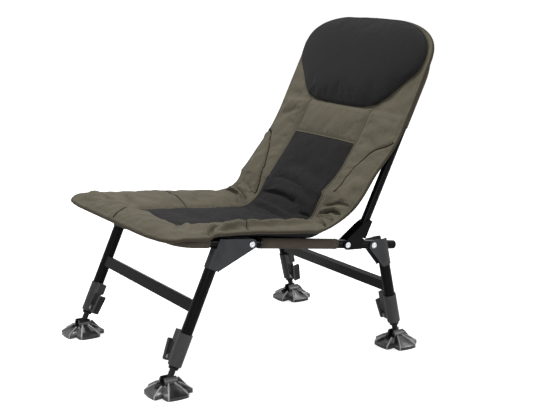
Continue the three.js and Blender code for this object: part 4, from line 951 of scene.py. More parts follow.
def mattress_point(kind, value, column, crown, top):
    """A point of the mattress's upper or lower face, its way out, and its x on the flat cloth."""
    points = {"seat": seat_point, "crease": turn_point, "back": back_point}
    return points[kind](value, column, crown, top)


def far_draw(column, up):
    """How far the right edge is drawn in just above the turn."""
    return FAR_DRAW * ease(-column * 2 - 1) * hump(up, FAR_DRAW_UP, FAR_DRAW_SPREAD)


def pulled(along, x):
    """Where the cloth's pull at the seat's front corners moves a point along and across."""
    tip = hump(x, TIP_X, TIP_SPREAD) * hump(along, SEAT_FRONT, TIP_SPREAD)
    blunt = hump(x, BLUNT_X, BLUNT_SPREAD) * hump(along, SEAT_FRONT, BLUNT_SPREAD)
    return along + TIP_SHARPENED * tip + BLUNTED * blunt, x + TIP_DRAWN_IN * tip


def left_step(along, x):
    """How far the left border's edge hangs lower before its lap than behind it."""
    outward = ease((x - 0.150) / 0.080)
    span = clamp((along - SEAT_FRONT) / 0.030) * clamp((SEAT_END - along) / 0.120)
    return LAP_STEP * math.tanh((along - LAP_AT) / LAP_LENGTH) * outward * span


def column_x(column, seam, half):
    """The x of a column: its share is a half at the seam and 1 at the edge."""
    aside = abs(column)
    x = aside * 2 * seam if aside <= 0.5 else lerp(seam, half, aside * 2 - 1)
    return math.copysign(x, column)


def curved(line):
    """A line of points with its corners cut twice, so that it bends evenly."""
    for _ in range(2):
        cut = [line[0]]
        for (x, y), (next_x, next_y) in zip(line, line[1:]):
            cut.append((lerp(x, next_x, 0.25), lerp(y, next_y, 0.25)))
            cut.append((lerp(x, next_x, 0.75), lerp(y, next_y, 0.75)))
        line = cut + [line[-1]]
    return line


# Seams and folds are drawn on the flat cloth: x across it and the path from its front edge.
# The turn begins at a path of 0.368 and the back part at 0.498
WING_SEAM_LEFT = curved([
    (0.237, 0.655), (0.228, 0.644), (0.202, 0.628), (0.180, 0.604),
    (0.167, 0.570), (0.161, 0.540), (0.157, 0.508),
])
WING_SEAM_RIGHT = curved([
    (-0.236, 0.622), (-0.212, 0.606), (-0.176, 0.562), (-0.154, 0.523),
    (-0.138, 0.486), (-0.124, 0.450),
])
FRONT_SEAM = curved([(0.012, 0.003), (-0.006, 0.018), (-0.046, 0.103)])
LEFT_JOIN = [(0.242, 0.196), (0.212, 0.214), (0.180, 0.228)]
RIGHT_JOIN = [(-0.242, 0.250), (-0.180, 0.247), (-0.109, 0.246)]
# Each border seam, and the radius of the dark cord laid in it as painted shade
BORDER_SEAMS = (
    (WING_SEAM_LEFT, 0.0013),
    (WING_SEAM_RIGHT, 0.0018),
    (FRONT_SEAM, 0.0012),
    (LEFT_JOIN, 0.0008),
    (RIGHT_JOIN, 0.0008),
)
LEFT_LAP = [(0.243, 0.104), (0.228, 0.112), (0.212, 0.130), (0.202, 0.150)]
LEFT_RIDGE = [
    (0.231, 0.124), (0.204, 0.168), (0.180, 0.236),
    (0.172, 0.320), (0.178, 0.372), (0.196, 0.400),
]

# How strongly the folds show, how near the panel's seams they die out, and the deepest that one
# may sink as a share of the padding
FOLD_STRENGTH = 1.35
CALM_WIDTH = 0.010
DEEPEST_SHARE = 0.6
SHOULDER_FALL = 0.0095
PUCKER_PITCH = 0.019
PUCKER_HEIGHT = 0.0010

# Slow waves in the slack cloth: how fast each turns across and along, its start and its height
SLACK_WAVES = (
    (95, 41, 0.3, 0.0006),
    (-62, 118, 1.7, 0.0006),
    (158, -74, 2.9, 0.0004),
    (23, 167, 0.9, 0.0004),
)

# Each fold: its line, how wide it is, and how far it rises or sinks
FOLDS = (
    # Gathers where the left border turns up to the back
    ([(0.140, 0.476), (0.171, 0.482), (0.200, 0.486), (0.238, 0.482)], 0.0050, -0.0034),
    ([(0.128, 0.466), (0.170, 0.473), (0.205, 0.475), (0.236, 0.471)], 0.0060, 0.0030),
    ([(0.124, 0.450), (0.165, 0.459), (0.200, 0.462), (0.238, 0.456)], 0.0052, -0.0062),
    ([(0.130, 0.438), (0.170, 0.446), (0.210, 0.447), (0.238, 0.444)], 0.0060, 0.0036),
    ([(0.196, 0.428), (0.216, 0.430), (0.240, 0.434)], 0.0045, -0.0030),
    ([(0.150, 0.424), (0.190, 0.420), (0.230, 0.418)], 0.0070, 0.0030),
    ([(0.200, 0.412), (0.226, 0.408), (0.242, 0.401)], 0.0045, -0.0050),
    # The fold across the right border where it turns up, and the gathers under it
    ([(-0.114, 0.418), (-0.157, 0.424), (-0.191, 0.429), (-0.238, 0.434)], 0.0050, -0.0062),
    ([(-0.112, 0.409), (-0.160, 0.414), (-0.205, 0.419), (-0.238, 0.422)], 0.0048, 0.0060),
    ([(-0.140, 0.404), (-0.188, 0.407), (-0.238, 0.408)], 0.0055, -0.0060),
    ([(-0.114, 0.394), (-0.150, 0.398), (-0.210, 0.396)], 0.0070, 0.0036),
    ([(-0.140, 0.452), (-0.168, 0.460), (-0.190, 0.466)], 0.0050, -0.0028),
    ([(-0.150, 0.440), (-0.190, 0.446), (-0.226, 0.450)], 0.0090, 0.0030),
    # Wrinkles of the middle panel at the turn and low on the back
    ([(-0.112, 0.459), (-0.061, 0.470), (-0.008, 0.473), (0.060, 0.466)], 0.0048, -0.0042),
    ([(-0.098, 0.472), (-0.040, 0.482), (0.046, 0.482), (0.098, 0.474)], 0.0075, 0.0034),
    ([(-0.105, 0.420), (-0.050, 0.414), (0.024, 0.404), (0.084, 0.398)], 0.0050, -0.0034),
    ([(-0.098, 0.432), (-0.044, 0.428), (0.034, 0.418), (0.090, 0.410)], 0.0075, 0.0028),
    ([(0.066, 0.448), (0.090, 0.452), (0.112, 0.449)], 0.0045, -0.0040),
    ([(-0.100, 0.500), (-0.050, 0.508), (0.030, 0.500), (0.112, 0.478)], 0.0065, -0.0026),
    ([(-0.092, 0.520), (-0.030, 0.526), (0.050, 0.512), (0.116, 0.492)], 0.0085, 0.0024),
    ([(-0.060, 0.548), (0.000, 0.550), (0.070, 0.532), (0.120, 0.512)], 0.0080, -0.0020),
    ([(-0.104, 0.386), (-0.040, 0.380), (0.050, 0.376)], 0.0070, -0.0020),
    # The right front corner: a lump, a hollow behind it and creases down to the panel
    ([(-0.212, 0.052), (-0.188, 0.046), (-0.150, 0.036)], 0.0180, 0.0048),
    ([(-0.176, 0.072), (-0.140, 0.066), (-0.112, 0.062)], 0.0085, -0.0080),
    ([(-0.216, 0.122), (-0.176, 0.116), (-0.118, 0.104)], 0.0060, -0.0040),
    ([(-0.206, 0.140), (-0.170, 0.134), (-0.116, 0.122)], 0.0090, 0.0026),
    ([(-0.090, 0.020), (-0.084, 0.060), (-0.086, 0.100)], 0.0065, -0.0042),
    ([(-0.066, 0.014), (-0.060, 0.060), (-0.064, 0.102)], 0.0080, 0.0040),
    ([(-0.196, 0.012), (-0.150, 0.016), (-0.110, 0.030)], 0.0070, -0.0035),
    ([(-0.128, 0.040), (-0.120, 0.075), (-0.110, 0.104)], 0.0050, -0.0040),
    # The left front corner's puckers
    ([(0.124, 0.100), (0.158, 0.080), (0.214, 0.040)], 0.0060, -0.0040),
    ([(0.146, 0.104), (0.176, 0.090), (0.222, 0.066)], 0.0080, 0.0030),
    ([(0.134, 0.124), (0.166, 0.116), (0.214, 0.094)], 0.0050, -0.0036),
    ([(0.060, 0.020), (0.074, 0.060), (0.086, 0.100)], 0.0090, -0.0030),
    ([(0.100, 0.012), (0.130, 0.036), (0.176, 0.052)], 0.0080, 0.0034),
    ([(0.026, 0.014), (0.030, 0.050), (0.028, 0.096)], 0.0085, 0.0030),
    # Long soft folds in the borders
    ([(-0.206, 0.190), (-0.180, 0.178), (-0.120, 0.172)], 0.0110, -0.0018),
    ([(-0.200, 0.330), (-0.150, 0.300), (-0.118, 0.270)], 0.0100, -0.0026),
    ([(0.226, 0.694), (0.190, 0.704), (0.150, 0.716)], 0.0090, -0.0024),
    ([(-0.222, 0.668), (-0.186, 0.676), (-0.150, 0.692)], 0.0080, -0.0045),
    ([(-0.232, 0.740), (-0.200, 0.730), (-0.160, 0.724)], 0.0080, -0.0032),
    ([(0.216, 0.560), (0.204, 0.520), (0.200, 0.486)], 0.0140, 0.0040),
    ([(-0.206, 0.560), (-0.196, 0.520), (-0.184, 0.486)], 0.0140, 0.0040),
    # A hollow and a rise where the seat takes the weight
    ([(-0.070, 0.178), (0.070, 0.198)], 0.0200, -0.0016),
    ([(-0.060, 0.278), (0.080, 0.298)], 0.0140, 0.0016),
)

# Narrow folds, pressed into the cloth after it has swollen
FINE_FOLDS = (
    # The left border's turn
    ([(0.140, 0.479), (0.171, 0.484), (0.195, 0.488), (0.218, 0.487), (0.240, 0.484)], 0.0018, -0.0034),
    ([(0.146, 0.475), (0.180, 0.480), (0.224, 0.480)], 0.0030, 0.0014),
    ([(0.132, 0.451), (0.169, 0.461), (0.197, 0.464), (0.218, 0.462), (0.241, 0.457)], 0.0022, -0.0050),
    ([(0.140, 0.446), (0.180, 0.455), (0.226, 0.453)], 0.0030, 0.0022),
    ([(0.204, 0.427), (0.216, 0.428), (0.228, 0.433), (0.241, 0.435)], 0.0017, -0.0034),
    ([(0.212, 0.422), (0.228, 0.426), (0.240, 0.428)], 0.0024, 0.0020),
    ([(0.222, 0.411), (0.234, 0.405), (0.244, 0.400)], 0.0022, -0.0060),
    ([(0.214, 0.418), (0.230, 0.414), (0.243, 0.411)], 0.0020, 0.0026),
    ([(0.160, 0.401), (0.200, 0.404), (0.232, 0.403)], 0.0024, -0.0022),
    # The right border's turn
    ([(-0.116, 0.416), (-0.157, 0.422), (-0.191, 0.427), (-0.238, 0.432)], 0.0020, -0.0070),
    ([(-0.112, 0.410), (-0.140, 0.413), (-0.166, 0.417), (-0.209, 0.422), (-0.240, 0.425)], 0.0020, 0.0040),
    ([(-0.150, 0.410), (-0.188, 0.412), (-0.239, 0.413)], 0.0026, -0.0060),
    ([(-0.112, 0.390), (-0.134, 0.397), (-0.156, 0.403)], 0.0016, -0.0036),
    ([(-0.111, 0.400), (-0.126, 0.404), (-0.142, 0.408)], 0.0015, -0.0032),
    ([(-0.138, 0.451), (-0.155, 0.457), (-0.172, 0.461)], 0.0015, -0.0026),
    ([(-0.194, 0.455), (-0.212, 0.457), (-0.230, 0.449)], 0.0018, -0.0026),
    ([(-0.200, 0.448), (-0.216, 0.448), (-0.228, 0.441)], 0.0018, -0.0022),
    # The lap in the left border, twisted over the part before it
    ([(0.2445, 0.104), (0.227, 0.118), (0.208, 0.136)], 0.0022, -0.0060),
    ([(0.2440, 0.112), (0.231, 0.127), (0.213, 0.155), (0.192, 0.198), (0.156, 0.256)], 0.0030, 0.0030),
    ([(0.2440, 0.118), (0.235, 0.135), (0.222, 0.164), (0.205, 0.204)], 0.0017, -0.0028),
    ([(0.2440, 0.124), (0.237, 0.142), (0.229, 0.172), (0.222, 0.206)], 0.0019, 0.0020),
    ([(0.2440, 0.131), (0.239, 0.150), (0.234, 0.182)], 0.0016, -0.0022),
    # The middle panel at the turn
    ([(-0.117, 0.459), (-0.095, 0.467), (-0.061, 0.471), (-0.008, 0.474), (0.050, 0.468)], 0.0024, -0.0028),
    ([(0.070, 0.448), (0.095, 0.452), (0.114, 0.449)], 0.0020, -0.0026),
    ([(-0.100, 0.419), (-0.050, 0.413), (0.024, 0.403), (0.080, 0.398)], 0.0024, -0.0018),
    ([(-0.096, 0.502), (-0.050, 0.509), (0.030, 0.501), (0.108, 0.480)], 0.0026, -0.0014),
)


def press_fine_folds(piece, spots):
    """Halves the upper cloth's grid and presses the narrow folds into it.

    spots holds, for each point of the upper cloth, its flat place and the room beneath it.
    """
    shape = bmesh.new()
    shape.from_mesh(piece.data)
    shape.verts.ensure_lookup_table()
    place = shape.verts.layers.float_vector.new("place")
    depth = shape.verts.layers.float.new("depth")
    for index, (x, path, room) in spots.items():
        shape.verts[index][place] = (x, path, 1)
        shape.verts[index][depth] = room
    upper = [face for face in shape.faces if all(vert[place].z == 1 for vert in face.verts)]
    edges = list({edge for face in upper for edge in face.edges})
    bmesh.ops.subdivide_edges(shape, edges=edges, cuts=1, use_grid_fill=True)
    shape.normal_update()
    cloth = [vert for vert in shape.verts if vert[place].z > 0.99]
    flat = np.array([tuple(vert[place])[:2] for vert in cloth])
    rise = np.zeros(len(flat))
    for line, width, height in FINE_FOLDS:
        rise += crease(flat, line, width, height, ends=0.22)
    rise *= np.clip((MATTRESS_HALF - 0.0005 - np.abs(flat[:, 0])) / 0.003, 0, 1)
    rise = np.maximum(rise, [-DEEPEST_SHARE * vert[depth] for vert in cloth])
    for vert, height in zip(cloth, rise):
        vert.co += vert.normal * float(height)
    shape.verts.layers.float_vector.remove(place)
    shape.verts.layers.float.remove(shape.verts.layers.float["depth"])
    shape.to_mesh(piece.data)
    shape.free()


def mattress_creases(flat):
    """How far each point of the upper cloth is raised by its folds, seams and gathers."""
    rise = np.zeros(len(flat))
    for line, width, height in FOLDS:
        rise += crease(flat, line, width, height * FOLD_STRENGTH, ends=0.25)
    rise *= calm_near_seams(flat)
    rise += crease(flat, WING_SEAM_LEFT, 0.0040, -0.0030, 0.0022, 0.011, 0.04)
    rise += crease(flat, WING_SEAM_RIGHT[::-1], 0.0034, -0.0070, 0.0040, 0.011, 0.04)
    rise += crease(flat, FRONT_SEAM, 0.0034, -0.0045, 0.0024, 0.009, 0.05)
    rise += crease(flat, LEFT_JOIN, 0.0030, -0.0030, ends=0.10)
    rise += crease(flat, RIGHT_JOIN, 0.0030, -0.0026, ends=0.10)
    rise += crease(flat, LEFT_LAP, 0.0036, -0.0100, 0.0055, 0.009, 0.12)
    rise += crease(flat, LEFT_RIDGE, 0.0050, 0.0065, ends=0.12)
    return rise + shoulder(flat) + unevenness(flat)


def calm_near_seams(flat):
    """0 on the panel's seams and 1 away from them, so that folds die out towards them."""
    front, turn = SEAT_PANEL_FRONT - SEAT_FRONT, SEAT_END - SEAT_FRONT
    back = turn + CREASE_LENGTH
    shares = [step / 6 for step in range(7)]
    side = [(SEAT_SEAM, front), (SEAT_SEAM, turn)]
    side += [(lerp(SEAT_SEAM, TURN_SEAM, ease(share)), lerp(turn, back, share)) for share in shares]
    side.append((BACK_SEAM, back + WIDEN_END - BACK_START))
    near = np.full(len(flat), 1.0)
    for line in (
        side,
        [(-x, path) for x, path in side],
        [(-SEAT_SEAM, front), (SEAT_SEAM, front)],
    ):
        far, _, _ = line_distance(flat, line)
        near = np.minimum(near, np.clip(far / CALM_WIDTH, 0, 1))
    return near


def shoulder(flat):
    """The left border's outer half falls away behind its lap, beyond the ridge."""
    x, path = flat[:, 0], flat[:, 1]
    across, along = zip(*LEFT_RIDGE)
    ridge = np.interp(path, along, across)
    beyond = np.clip((x - ridge) / 0.011, 0, 1)
    beyond = beyond * beyond * (3 - 2 * beyond)
    span = np.clip((path - 0.124) / 0.03, 0, 1) * np.clip((0.40 - path) / 0.05, 0, 1)
    return -SHOULDER_FALL * beyond * np.clip((0.243 - x) / 0.022, 0, 1) * span


def unevenness(flat):
    """Slack in the borders' cloth, and its puckers beside the panel's seams."""
    x, path = flat[:, 0], flat[:, 1]
    rise = np.zeros(len(flat))
    for across, along, turn, height in SLACK_WAVES:
        rise += height * np.sin(across * x + along * path + turn)
    seam = np.where(path < 0.40, SEAT_SEAM, BACK_SEAM)
    beyond = np.clip((np.abs(x) - seam) / 0.006, 0, 1)
    front = np.clip((SEAT_PANEL_FRONT - SEAT_FRONT - path) / 0.006, 0, 1)
    border = np.maximum(beyond, front)
    near = np.exp(-(((np.abs(x) - seam) / 0.014) ** 2))
    phase = 2 * math.pi * path / PUCKER_PITCH + 3 * np.sin(17 * path)
    pucker = PUCKER_HEIGHT * np.sin(phase) * near * beyond
    return rise * (0.3 + 0.7 * border) + pucker


class MattressGrid:
    """The mattress's two faces as grids of points, joined along their edge.

    Once it is made, piece is its object and where gives the mesh's point of each place (i, j).
    """

    def __init__(self, crown, seam_depth):
        self.rows = mattress_rows()
        self.across = PANEL_COLUMNS + 2 * BORDER_COLUMNS
        self.along = len(self.rows) - 1
        self.seams = (BORDER_COLUMNS, BORDER_COLUMNS + PANEL_COLUMNS)
        self.panel_start = FRONT_ROWS
        self.panel_end = FRONT_ROWS + SEAT_ROWS + CREASE_ROWS + PANEL_ROWS
        self.band_end = self.panel_end + BAND_ROWS
        self.crown = crown
        self.seam_depth = seam_depth
        self.piece = None
        self.where = {}
        places, ways, flat = zip(*self.face(True))
        self.lower = [place for place, _, _ in self.face(False)]
        self.flat = np.array(flat)
        self.rise = self.raised(places, ways)
        self.upper = [p + w * float(r) for p, w, r in zip(places, ways, self.rise)]

    def column(self, index):
        """A column's share: a half at the seams and 1 at the edges."""
        if index < self.seams[0]:
            return -1 + 0.5 * index / BORDER_COLUMNS
        if index <= self.seams[1]:
            return -0.5 + (index - self.seams[0]) / PANEL_COLUMNS
        return 0.5 + 0.5 * (index - self.seams[1]) / BORDER_COLUMNS

    def number(self, i, j):
        return j * (self.across + 1) + i

    def place(self, number):
        return number % (self.across + 1), number // (self.across + 1)

    def on_seam(self, i, j):
        side = i in self.seams and self.panel_start <= j <= self.band_end
        inside = self.seams[0] <= i <= self.seams[1]
        return side or (j in (self.panel_start, self.panel_end) and inside)

    def on_edge(self, i, j):
        return i in (0, self.across) or j in (0, self.along)

    def in_panel(self, i, j):
        return self.seams[0] < i < self.seams[1] and self.panel_start < j < self.panel_end

    def seam_lines(self):
        """Each seam of the middle panel: its places and the step from one across it."""
        rows = range(self.panel_start, self.band_end + 1)
        columns = range(self.seams[0], self.seams[1] + 1)
        sides = [([(i, j) for j in rows], (1, 0)) for i in self.seams]
        ends = [([(i, j) for i in columns], (0, 1)) for j in (self.panel_start, self.panel_end)]
        return sides + ends

    def face(self, top):
        """Each point of one face without its folds, its way out and its flat place."""
        for kind, value, path in self.rows:
            for i in range(self.across + 1):
                place, way, x = mattress_point(kind, value, self.column(i), self.crown, top)
                yield place, way, (x, path)

    def raised(self, places, ways):
        """How far folds and seams raise the upper face, which never sinks far into the padding."""
        rise = mattress_creases(self.flat)
        for line, _ in self.seam_lines():
            drawn = [tuple(self.flat[self.number(i, j)]) for i, j in line]
            rise += crease(self.flat, drawn, SEAM_WIDTH, -self.seam_depth, ends=0.01)
        room = [(p - q).dot(w) for p, q, w in zip(places, self.lower, ways)]
        rise = np.maximum(rise, -DEEPEST_SHARE * np.maximum(room, 0))
        rise[[self.on_edge(*self.place(number)) for number in range(len(rise))]] = 0
        return rise

    def laid(self, line, lift):
        """Points above the made cloth along a line of places, with the ways out there."""
        mesh = self.piece.data
        indices = [self.where[place] for place in line]
        normals = [mesh.vertex_normals[k].vector.copy() for k in indices]
        places = [mesh.vertices[k].co.copy() for k in indices]
        return [place + normal * lift for place, normal in zip(places, normals)], normals


def grid_shape(shape, across, along, places, flat, finish_of, flip=False):
    """Adds a grid with the given points, row by row, and tells each point's number."""
    layer = shape.loops.layers.uv.get("cloth") or shape.loops.layers.uv.new("cloth")
    made = bmesh.ops.create_grid(shape, x_segments=across, y_segments=along, size=1)
    width = across + 1
    number = {}
    for vert in made["verts"]:
        i = round((vert.co.x + 1) / 2 * across)
        j = round((vert.co.y + 1) / 2 * along)
        number[vert] = j * width + i
    for vert, index in number.items():
        vert.co = places[index]
    faces = {face for vert in made["verts"] for face in vert.link_faces}
    for face in faces:
        for loop in face.loops:
            loop[layer].uv = flat[number[loop.vert]]
        indices = [number[vert] for vert in face.verts]
        face.material_index = finish_of(min(k % width for k in indices), min(indices) // width)
    if flip:
        bmesh.ops.reverse_faces(shape, faces=list(faces))
    return number


def shell(across, along, upper, lower, flat, upper_finish, lower_finish):
    """Two grids joined round their edges, with the mesh's point of each number on either."""
    shape = bmesh.new()
    above = grid_shape(shape, across, along, upper, flat, upper_finish)
    upper_rim = {edge for edge in shape.edges if edge.is_boundary}
    below = grid_shape(shape, across, along, lower, flat, lower_finish, True)
    rim = [edge for edge in shape.edges if edge.is_boundary]
    rim.sort(key=lambda edge: edge not in upper_rim)
    for face in bmesh.ops.bridge_loops(shape, edges=rim)["faces"]:
        face.material_index = 0
    bmesh.ops.recalc_face_normals(shape, faces=shape.faces)
    shape.verts.index_update()
    above = {number: vert.index for vert, number in above.items()}
    below = {number: vert.index for vert, number in below.items()}
    return shape, above, below


def make_mattress(sizes):
    """The one-piece mattress: two faces swollen as cloth between their seams."""
    grid = MattressGrid(sizes.border_crown, sizes.seam_depth)

    def upper_finish(i, j):
        panel = grid.seams[0] <= i < grid.seams[1]
        return 1 if panel and grid.panel_start <= j < grid.panel_end else 0

    shape, above, below = shell(
        grid.across, grid.along, grid.upper, grid.lower, grid.flat, upper_finish, lambda i, j: 2
    )
    held = np.ones(len(shape.verts))
    slack = np.zeros(len(shape.verts))
    for number, index in above.items():
        i, j = grid.place(number)
        grid.where[i, j] = index
        if grid.on_seam(i, j) or grid.on_edge(i, j):
            continue
        under_pillow = ease((grid.flat[number][1] - PILLOW_PATH) / HELD_BY_PILLOW_OVER)
        held[index] = max(clamp(-grid.rise[number] / HOLDING_DEPTH), under_pillow)
        slack[index] = PANEL_SLACK if grid.in_panel(i, j) else BORDER_SLACK
    grid.piece = object_from("mattress", shape, ["olive_canvas", "black_fleece", "black_lining"])
    swell(grid.piece, held, slack, sizes.pressure, sizes.most_swell)
    places = [vert.co for vert in grid.piece.data.vertices]
    spots = {
        index: (*grid.flat[number], (places[index] - places[below[number]]).length)
        for number, index in above.items()
    }
    press_fine_folds(grid.piece, spots)
    return grid


def blend_to_back(piece):
    """Bends a piece with the mattress, from the seat to the back."""
    start = seat_place(0, SEAT_END, 0)
    end = back_place(0, 0, BACK_START)
    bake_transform(piece, "seat_frame", "backrest", tuple(start), tuple(end))


def outline_path(grid):
    """The line of the cord round the mattress's edge."""
    around = [(i, 0) for i in range(grid.across)]
    around += [(grid.across, j) for j in range(grid.along)]
    around += [(i, grid.along) for i in range(grid.across, 0, -1)]
    around += [(0, j) for j in range(grid.along, 0, -1)]
    points = grid.piece.data.vertices
    path = []
    for i, j in around:
        top = points[grid.where[i, j]].co
        low = grid.lower[grid.number(i, j)]
        inner = min(max(i, 2), grid.across - 2), min(max(j, 2), grid.along - 2)
        middle = top.lerp(low, 0.55)
        normal = (top - low).normalized()
        way = middle - points[grid.where[inner]].co
        way -= normal * way.dot(normal)
        path.append(middle + way.normalized() * CORD_LIFT)
    return path


def even_path(path, pitch, closed=True):
    """The same line with points at an even pitch."""
    points = [np.array(p) for p in path] + ([np.array(path[0])] if closed else [])
    steps = np.linalg.norm(np.diff(points, axis=0), axis=1)
    places = np.concatenate([[0], np.cumsum(steps)])
    count = max(4, int(places[-1] / pitch))
    at = np.linspace(0, places[-1], count, endpoint=not closed)
    table = np.array(points)
    return [Vector(tuple(np.interp(a, places, table[:, k]) for k in range(3))) for a in at]


def make_mattress_trim(grid, sizes):
    """Piping round the edge and beside the panel, and the rows of stitches."""
    line = even_path(outline_path(grid), EDGE_CORD_STEP)
    edge = tube("mattress_piping", line, sizes.piping_radius, "edge_piping", 12, True)
    blend_to_back(edge)
    cords, stitched = [], []
    for seam, (aside, onward) in grid.seam_lines():
        line, _ = grid.laid(seam, CORD_LIFT)
        cords.append(tube_shape(even_path(line, SEAM_CORD_STEP, False), sizes.seam_radius, 8))
        for sign in (-1, 1):
            stitched.append([(i + sign * aside, j + sign * onward) for i, j in seam])
    blend_to_back(joined("panel_piping", cords, "seam_piping"))
    inset = STITCH_INSET
    for i in (inset, grid.across - inset):
        stitched.append([(i, j) for j in range(inset, grid.along - inset + 1)])
    for j in (inset, grid.along - inset):
        stitched.append([(i, j) for i in range(inset, grid.across - inset + 1)])
    found = []
    for line in stitched:
        found += stitch_places(*grid.laid(line, 0), sizes.stitch_pitch, STITCH_LIFT)
    stitches = stitches_of("mattress_stitches", found, sizes.stitch_pitch, STITCH_RADIUS)
    blend_to_back(stitches)


def on_cloth(grid, spot):
    """The point of the made upper cloth, and its way out, at a spot on the flat cloth."""
    paths = grid.flat[:: grid.across + 1, 1]
    row = int(np.clip(np.searchsorted(paths, spot[1]) - 1, 0, grid.along - 1))
    share = clamp((spot[1] - paths[row]) / (paths[row + 1] - paths[row]))
    ends = []
    for j in (row, row + 1):
        columns = grid.flat[grid.number(0, j) : grid.number(0, j + 1), 0]
        across = float(np.interp(spot[0], columns, range(len(columns))))
        i = min(int(across), grid.across - 1)
        places, ways = grid.laid([(i, j), (i + 1, j)], 0)
        ends.append((places[0].lerp(places[1], across - i), ways[0].lerp(ways[1], across - i)))
    return ends[0][0].lerp(ends[1][0], share), ends[0][1].lerp(ends[1][1], share).normalized()


def make_seam_shadow_cords(grid):
    """A fine cord in each seam of the borders, laid on the swollen cloth and darkened as painted shade in
    the seam's crease.
    """
    cords = []
    for line, radius in BORDER_SEAMS:
        spots = even_path([Vector((x, path, 0)) for x, path in line], SEAM_CORD_STEP, False)
        laid = [on_cloth(grid, spot) for spot in spots]
        cords.append(tube_shape([place + way * (radius * 0.85) for place, way in laid], radius, 8))
    blend_to_back(joined("border_seams", cords, "shaded_piping"))


def pillow_outline():
    """The pillow's edge, across and up the back, from its foot round its left side to its top."""
    side = [(0.050, 0.3135), (0.095, 0.317), (0.132, 0.326), (0.160, 0.348), (0.186, 0.378)]
    side += [(0.207, 0.398), (0.219, 0.412), (0.2265, 0.428)]
    for step in range(1, 13):
        up = lerp(0.440, 0.531, math.sin(step / 12 * math.pi / 2))
        margin = lerp(0.010, 0.004, ease((up - 0.450) / 0.070))
        side.append((back_half_width(min(up + 0.003, BACK_END - 0.0005)) - margin, up))
    points = [(0.0, PILLOW_FOOT)] + side + [(0.0, 0.5315)]
    return points + [(-x, up) for x, up in reversed(side)]


def radius_towards(outline, centre, angle):
    """How far an outline is from a point inside it, in one direction."""
    way = (math.sin(angle), math.cos(angle))
    best = 0.0
    for (x0, y0), (x1, y1) in zip(outline, outline[1:] + outline[:1]):
        ax, ay = x0 - centre[0], y0 - centre[1]
        bx, by = x1 - x0, y1 - y0
        cross = way[0] * by - way[1] * bx
        if abs(cross) < 1e-12:
            continue
        reach = (ax * by - ay * bx) / cross
        share = (ax * way[1] - ay * way[0]) / cross
        if reach > 0 and -1e-6 <= share <= 1 + 1e-6:
            best = max(best, reach)
    return best


def make_pillow(sizes):
    """The head pillow: a flat-backed cushion, swollen as cloth inside its edge."""
    outline = pillow_outline()
    steps = PILLOW_STEPS
    plane = back_front(0, PILLOW_FOOT, sizes.border_crown) - BACK_GAP
    upper, lower, flat = [], [], []
    for j in range(steps + 1):
        for i in range(steps + 1):
            u, v = i / steps * 2 - 1, j / steps * 2 - 1
            disc_u = u * math.sqrt(1 - v * v / 2)
            disc_v = v * math.sqrt(1 - u * u / 2)
            radius = min(1.0, math.hypot(disc_u, disc_v))
            angle = math.atan2(disc_u, disc_v)
            reach = radius * radius_towards(outline, (0.0, PILLOW_MIDDLE), angle)
            x = reach * math.sin(angle)
            up = PILLOW_MIDDLE + reach * math.cos(angle)
            dome = math.sqrt(max(0, 1 - radius**2.6))
            upper.append(back_place(x, plane - lerp(PILLOW_EDGE, sizes.pillow_thickness, dome), up))
            lower.append(back_place(x, plane, up))
            flat.append((x, up))
    shape, above, _ = shell(steps, steps, upper, lower, flat, lambda i, j: 0, lambda i, j: 0)
    order = [(i, 0) for i in range(steps)] + [(steps, j) for j in range(steps)]
    order += [(i, steps) for i in range(steps, 0, -1)] + [(0, j) for j in range(steps, 0, -1)]
    rim = [j * (steps + 1) + i for i, j in order]
    held = np.ones(len(shape.verts))
    slack = np.zeros(len(shape.verts))
    for number in set(above) - set(rim):
        held[above[number]] = 0.0
        slack[above[number]] = PILLOW_SLACK
    piece = object_from("head_pillow_made", shape, ["pillow_fleece"])
    swell(piece, held, slack, sizes.pressure, PILLOW_MOST_SWELL)
    softer = piece.modifiers.new("Round", "SUBSURF")
    softer.levels = softer.render_levels = 1
    settle(piece, "backrest", "black_cloth", "head_pillow")
    ring = [upper[number] + back_normal() * -0.0022 for number in rim]
    seam = tube("pillow_seam", even_path(ring, 0.005), 0.0019, "pillow_fleece", 10, True)
    settle(seam, "backrest", "black_cloth")


def even_shares(count):
    return [step / count for step in range(count + 1)]


def sheet_piece(name, rows, columns, place, flat, wall):
    """A cloth sheet over a grid of shares, with its thickness on the far side."""
    shape = bmesh.new()
    shares = [(across, up) for up in even_shares(rows) for across in even_shares(columns)]
    places = [place(across, up) for across, up in shares]
    maps = [flat(across, up) for across, up in shares]
    grid_shape(shape, columns, rows, places, maps, lambda i, j: 0)
    piece = object_from(name, shape, ["brown_webbing"])
    wall_of(piece, wall)
    return piece


def seat_path(points):
    return [seat_place(x, along, 0) for x, along in points]


def quarter(steps):
    """The cosine and sine of even steps through a quarter turn."""
    angles = [share * math.pi / 2 for share in even_shares(steps)]
    return [(math.cos(angle), math.sin(angle)) for angle in angles]


def front_corner(steps=8):
    """The rails' axes from the left rail round the front to the right one."""
    side, front = HALF_SPACING - RAIL_BEND, RAIL_BEND - FRONT_REACH
    left = [(side + RAIL_BEND * c, front - RAIL_BEND * s) for c, s in quarter(steps)]
    return left + [(-x, along) for x, along in reversed(left)]


def hoop_path(start, steps=16):
    """The back tube's axis from its left foot over the top to its right foot, across and up."""
    side, top = HALF_SPACING - BACK_BEND, BACK_TOP - BACK_BEND
    left = [(HALF_SPACING, start)]
    left += [(side + BACK_BEND * c, top + BACK_BEND * s) for c, s in quarter(steps)]
    return left + [(-x, up) for x, up in reversed(left)]


def hem_stitches(name, lines, pitch, body):
    """Rows of stitches along the hems of a sling cloth, each row with its ways out."""
    found = []
    for path, normals in lines:
        found += stitch_places(path, normals, pitch, HEM_STITCH_LIFT)
    return settle(stitches_of(name, found, pitch, HEM_STITCH_RADIUS), body, "sling_cloth")


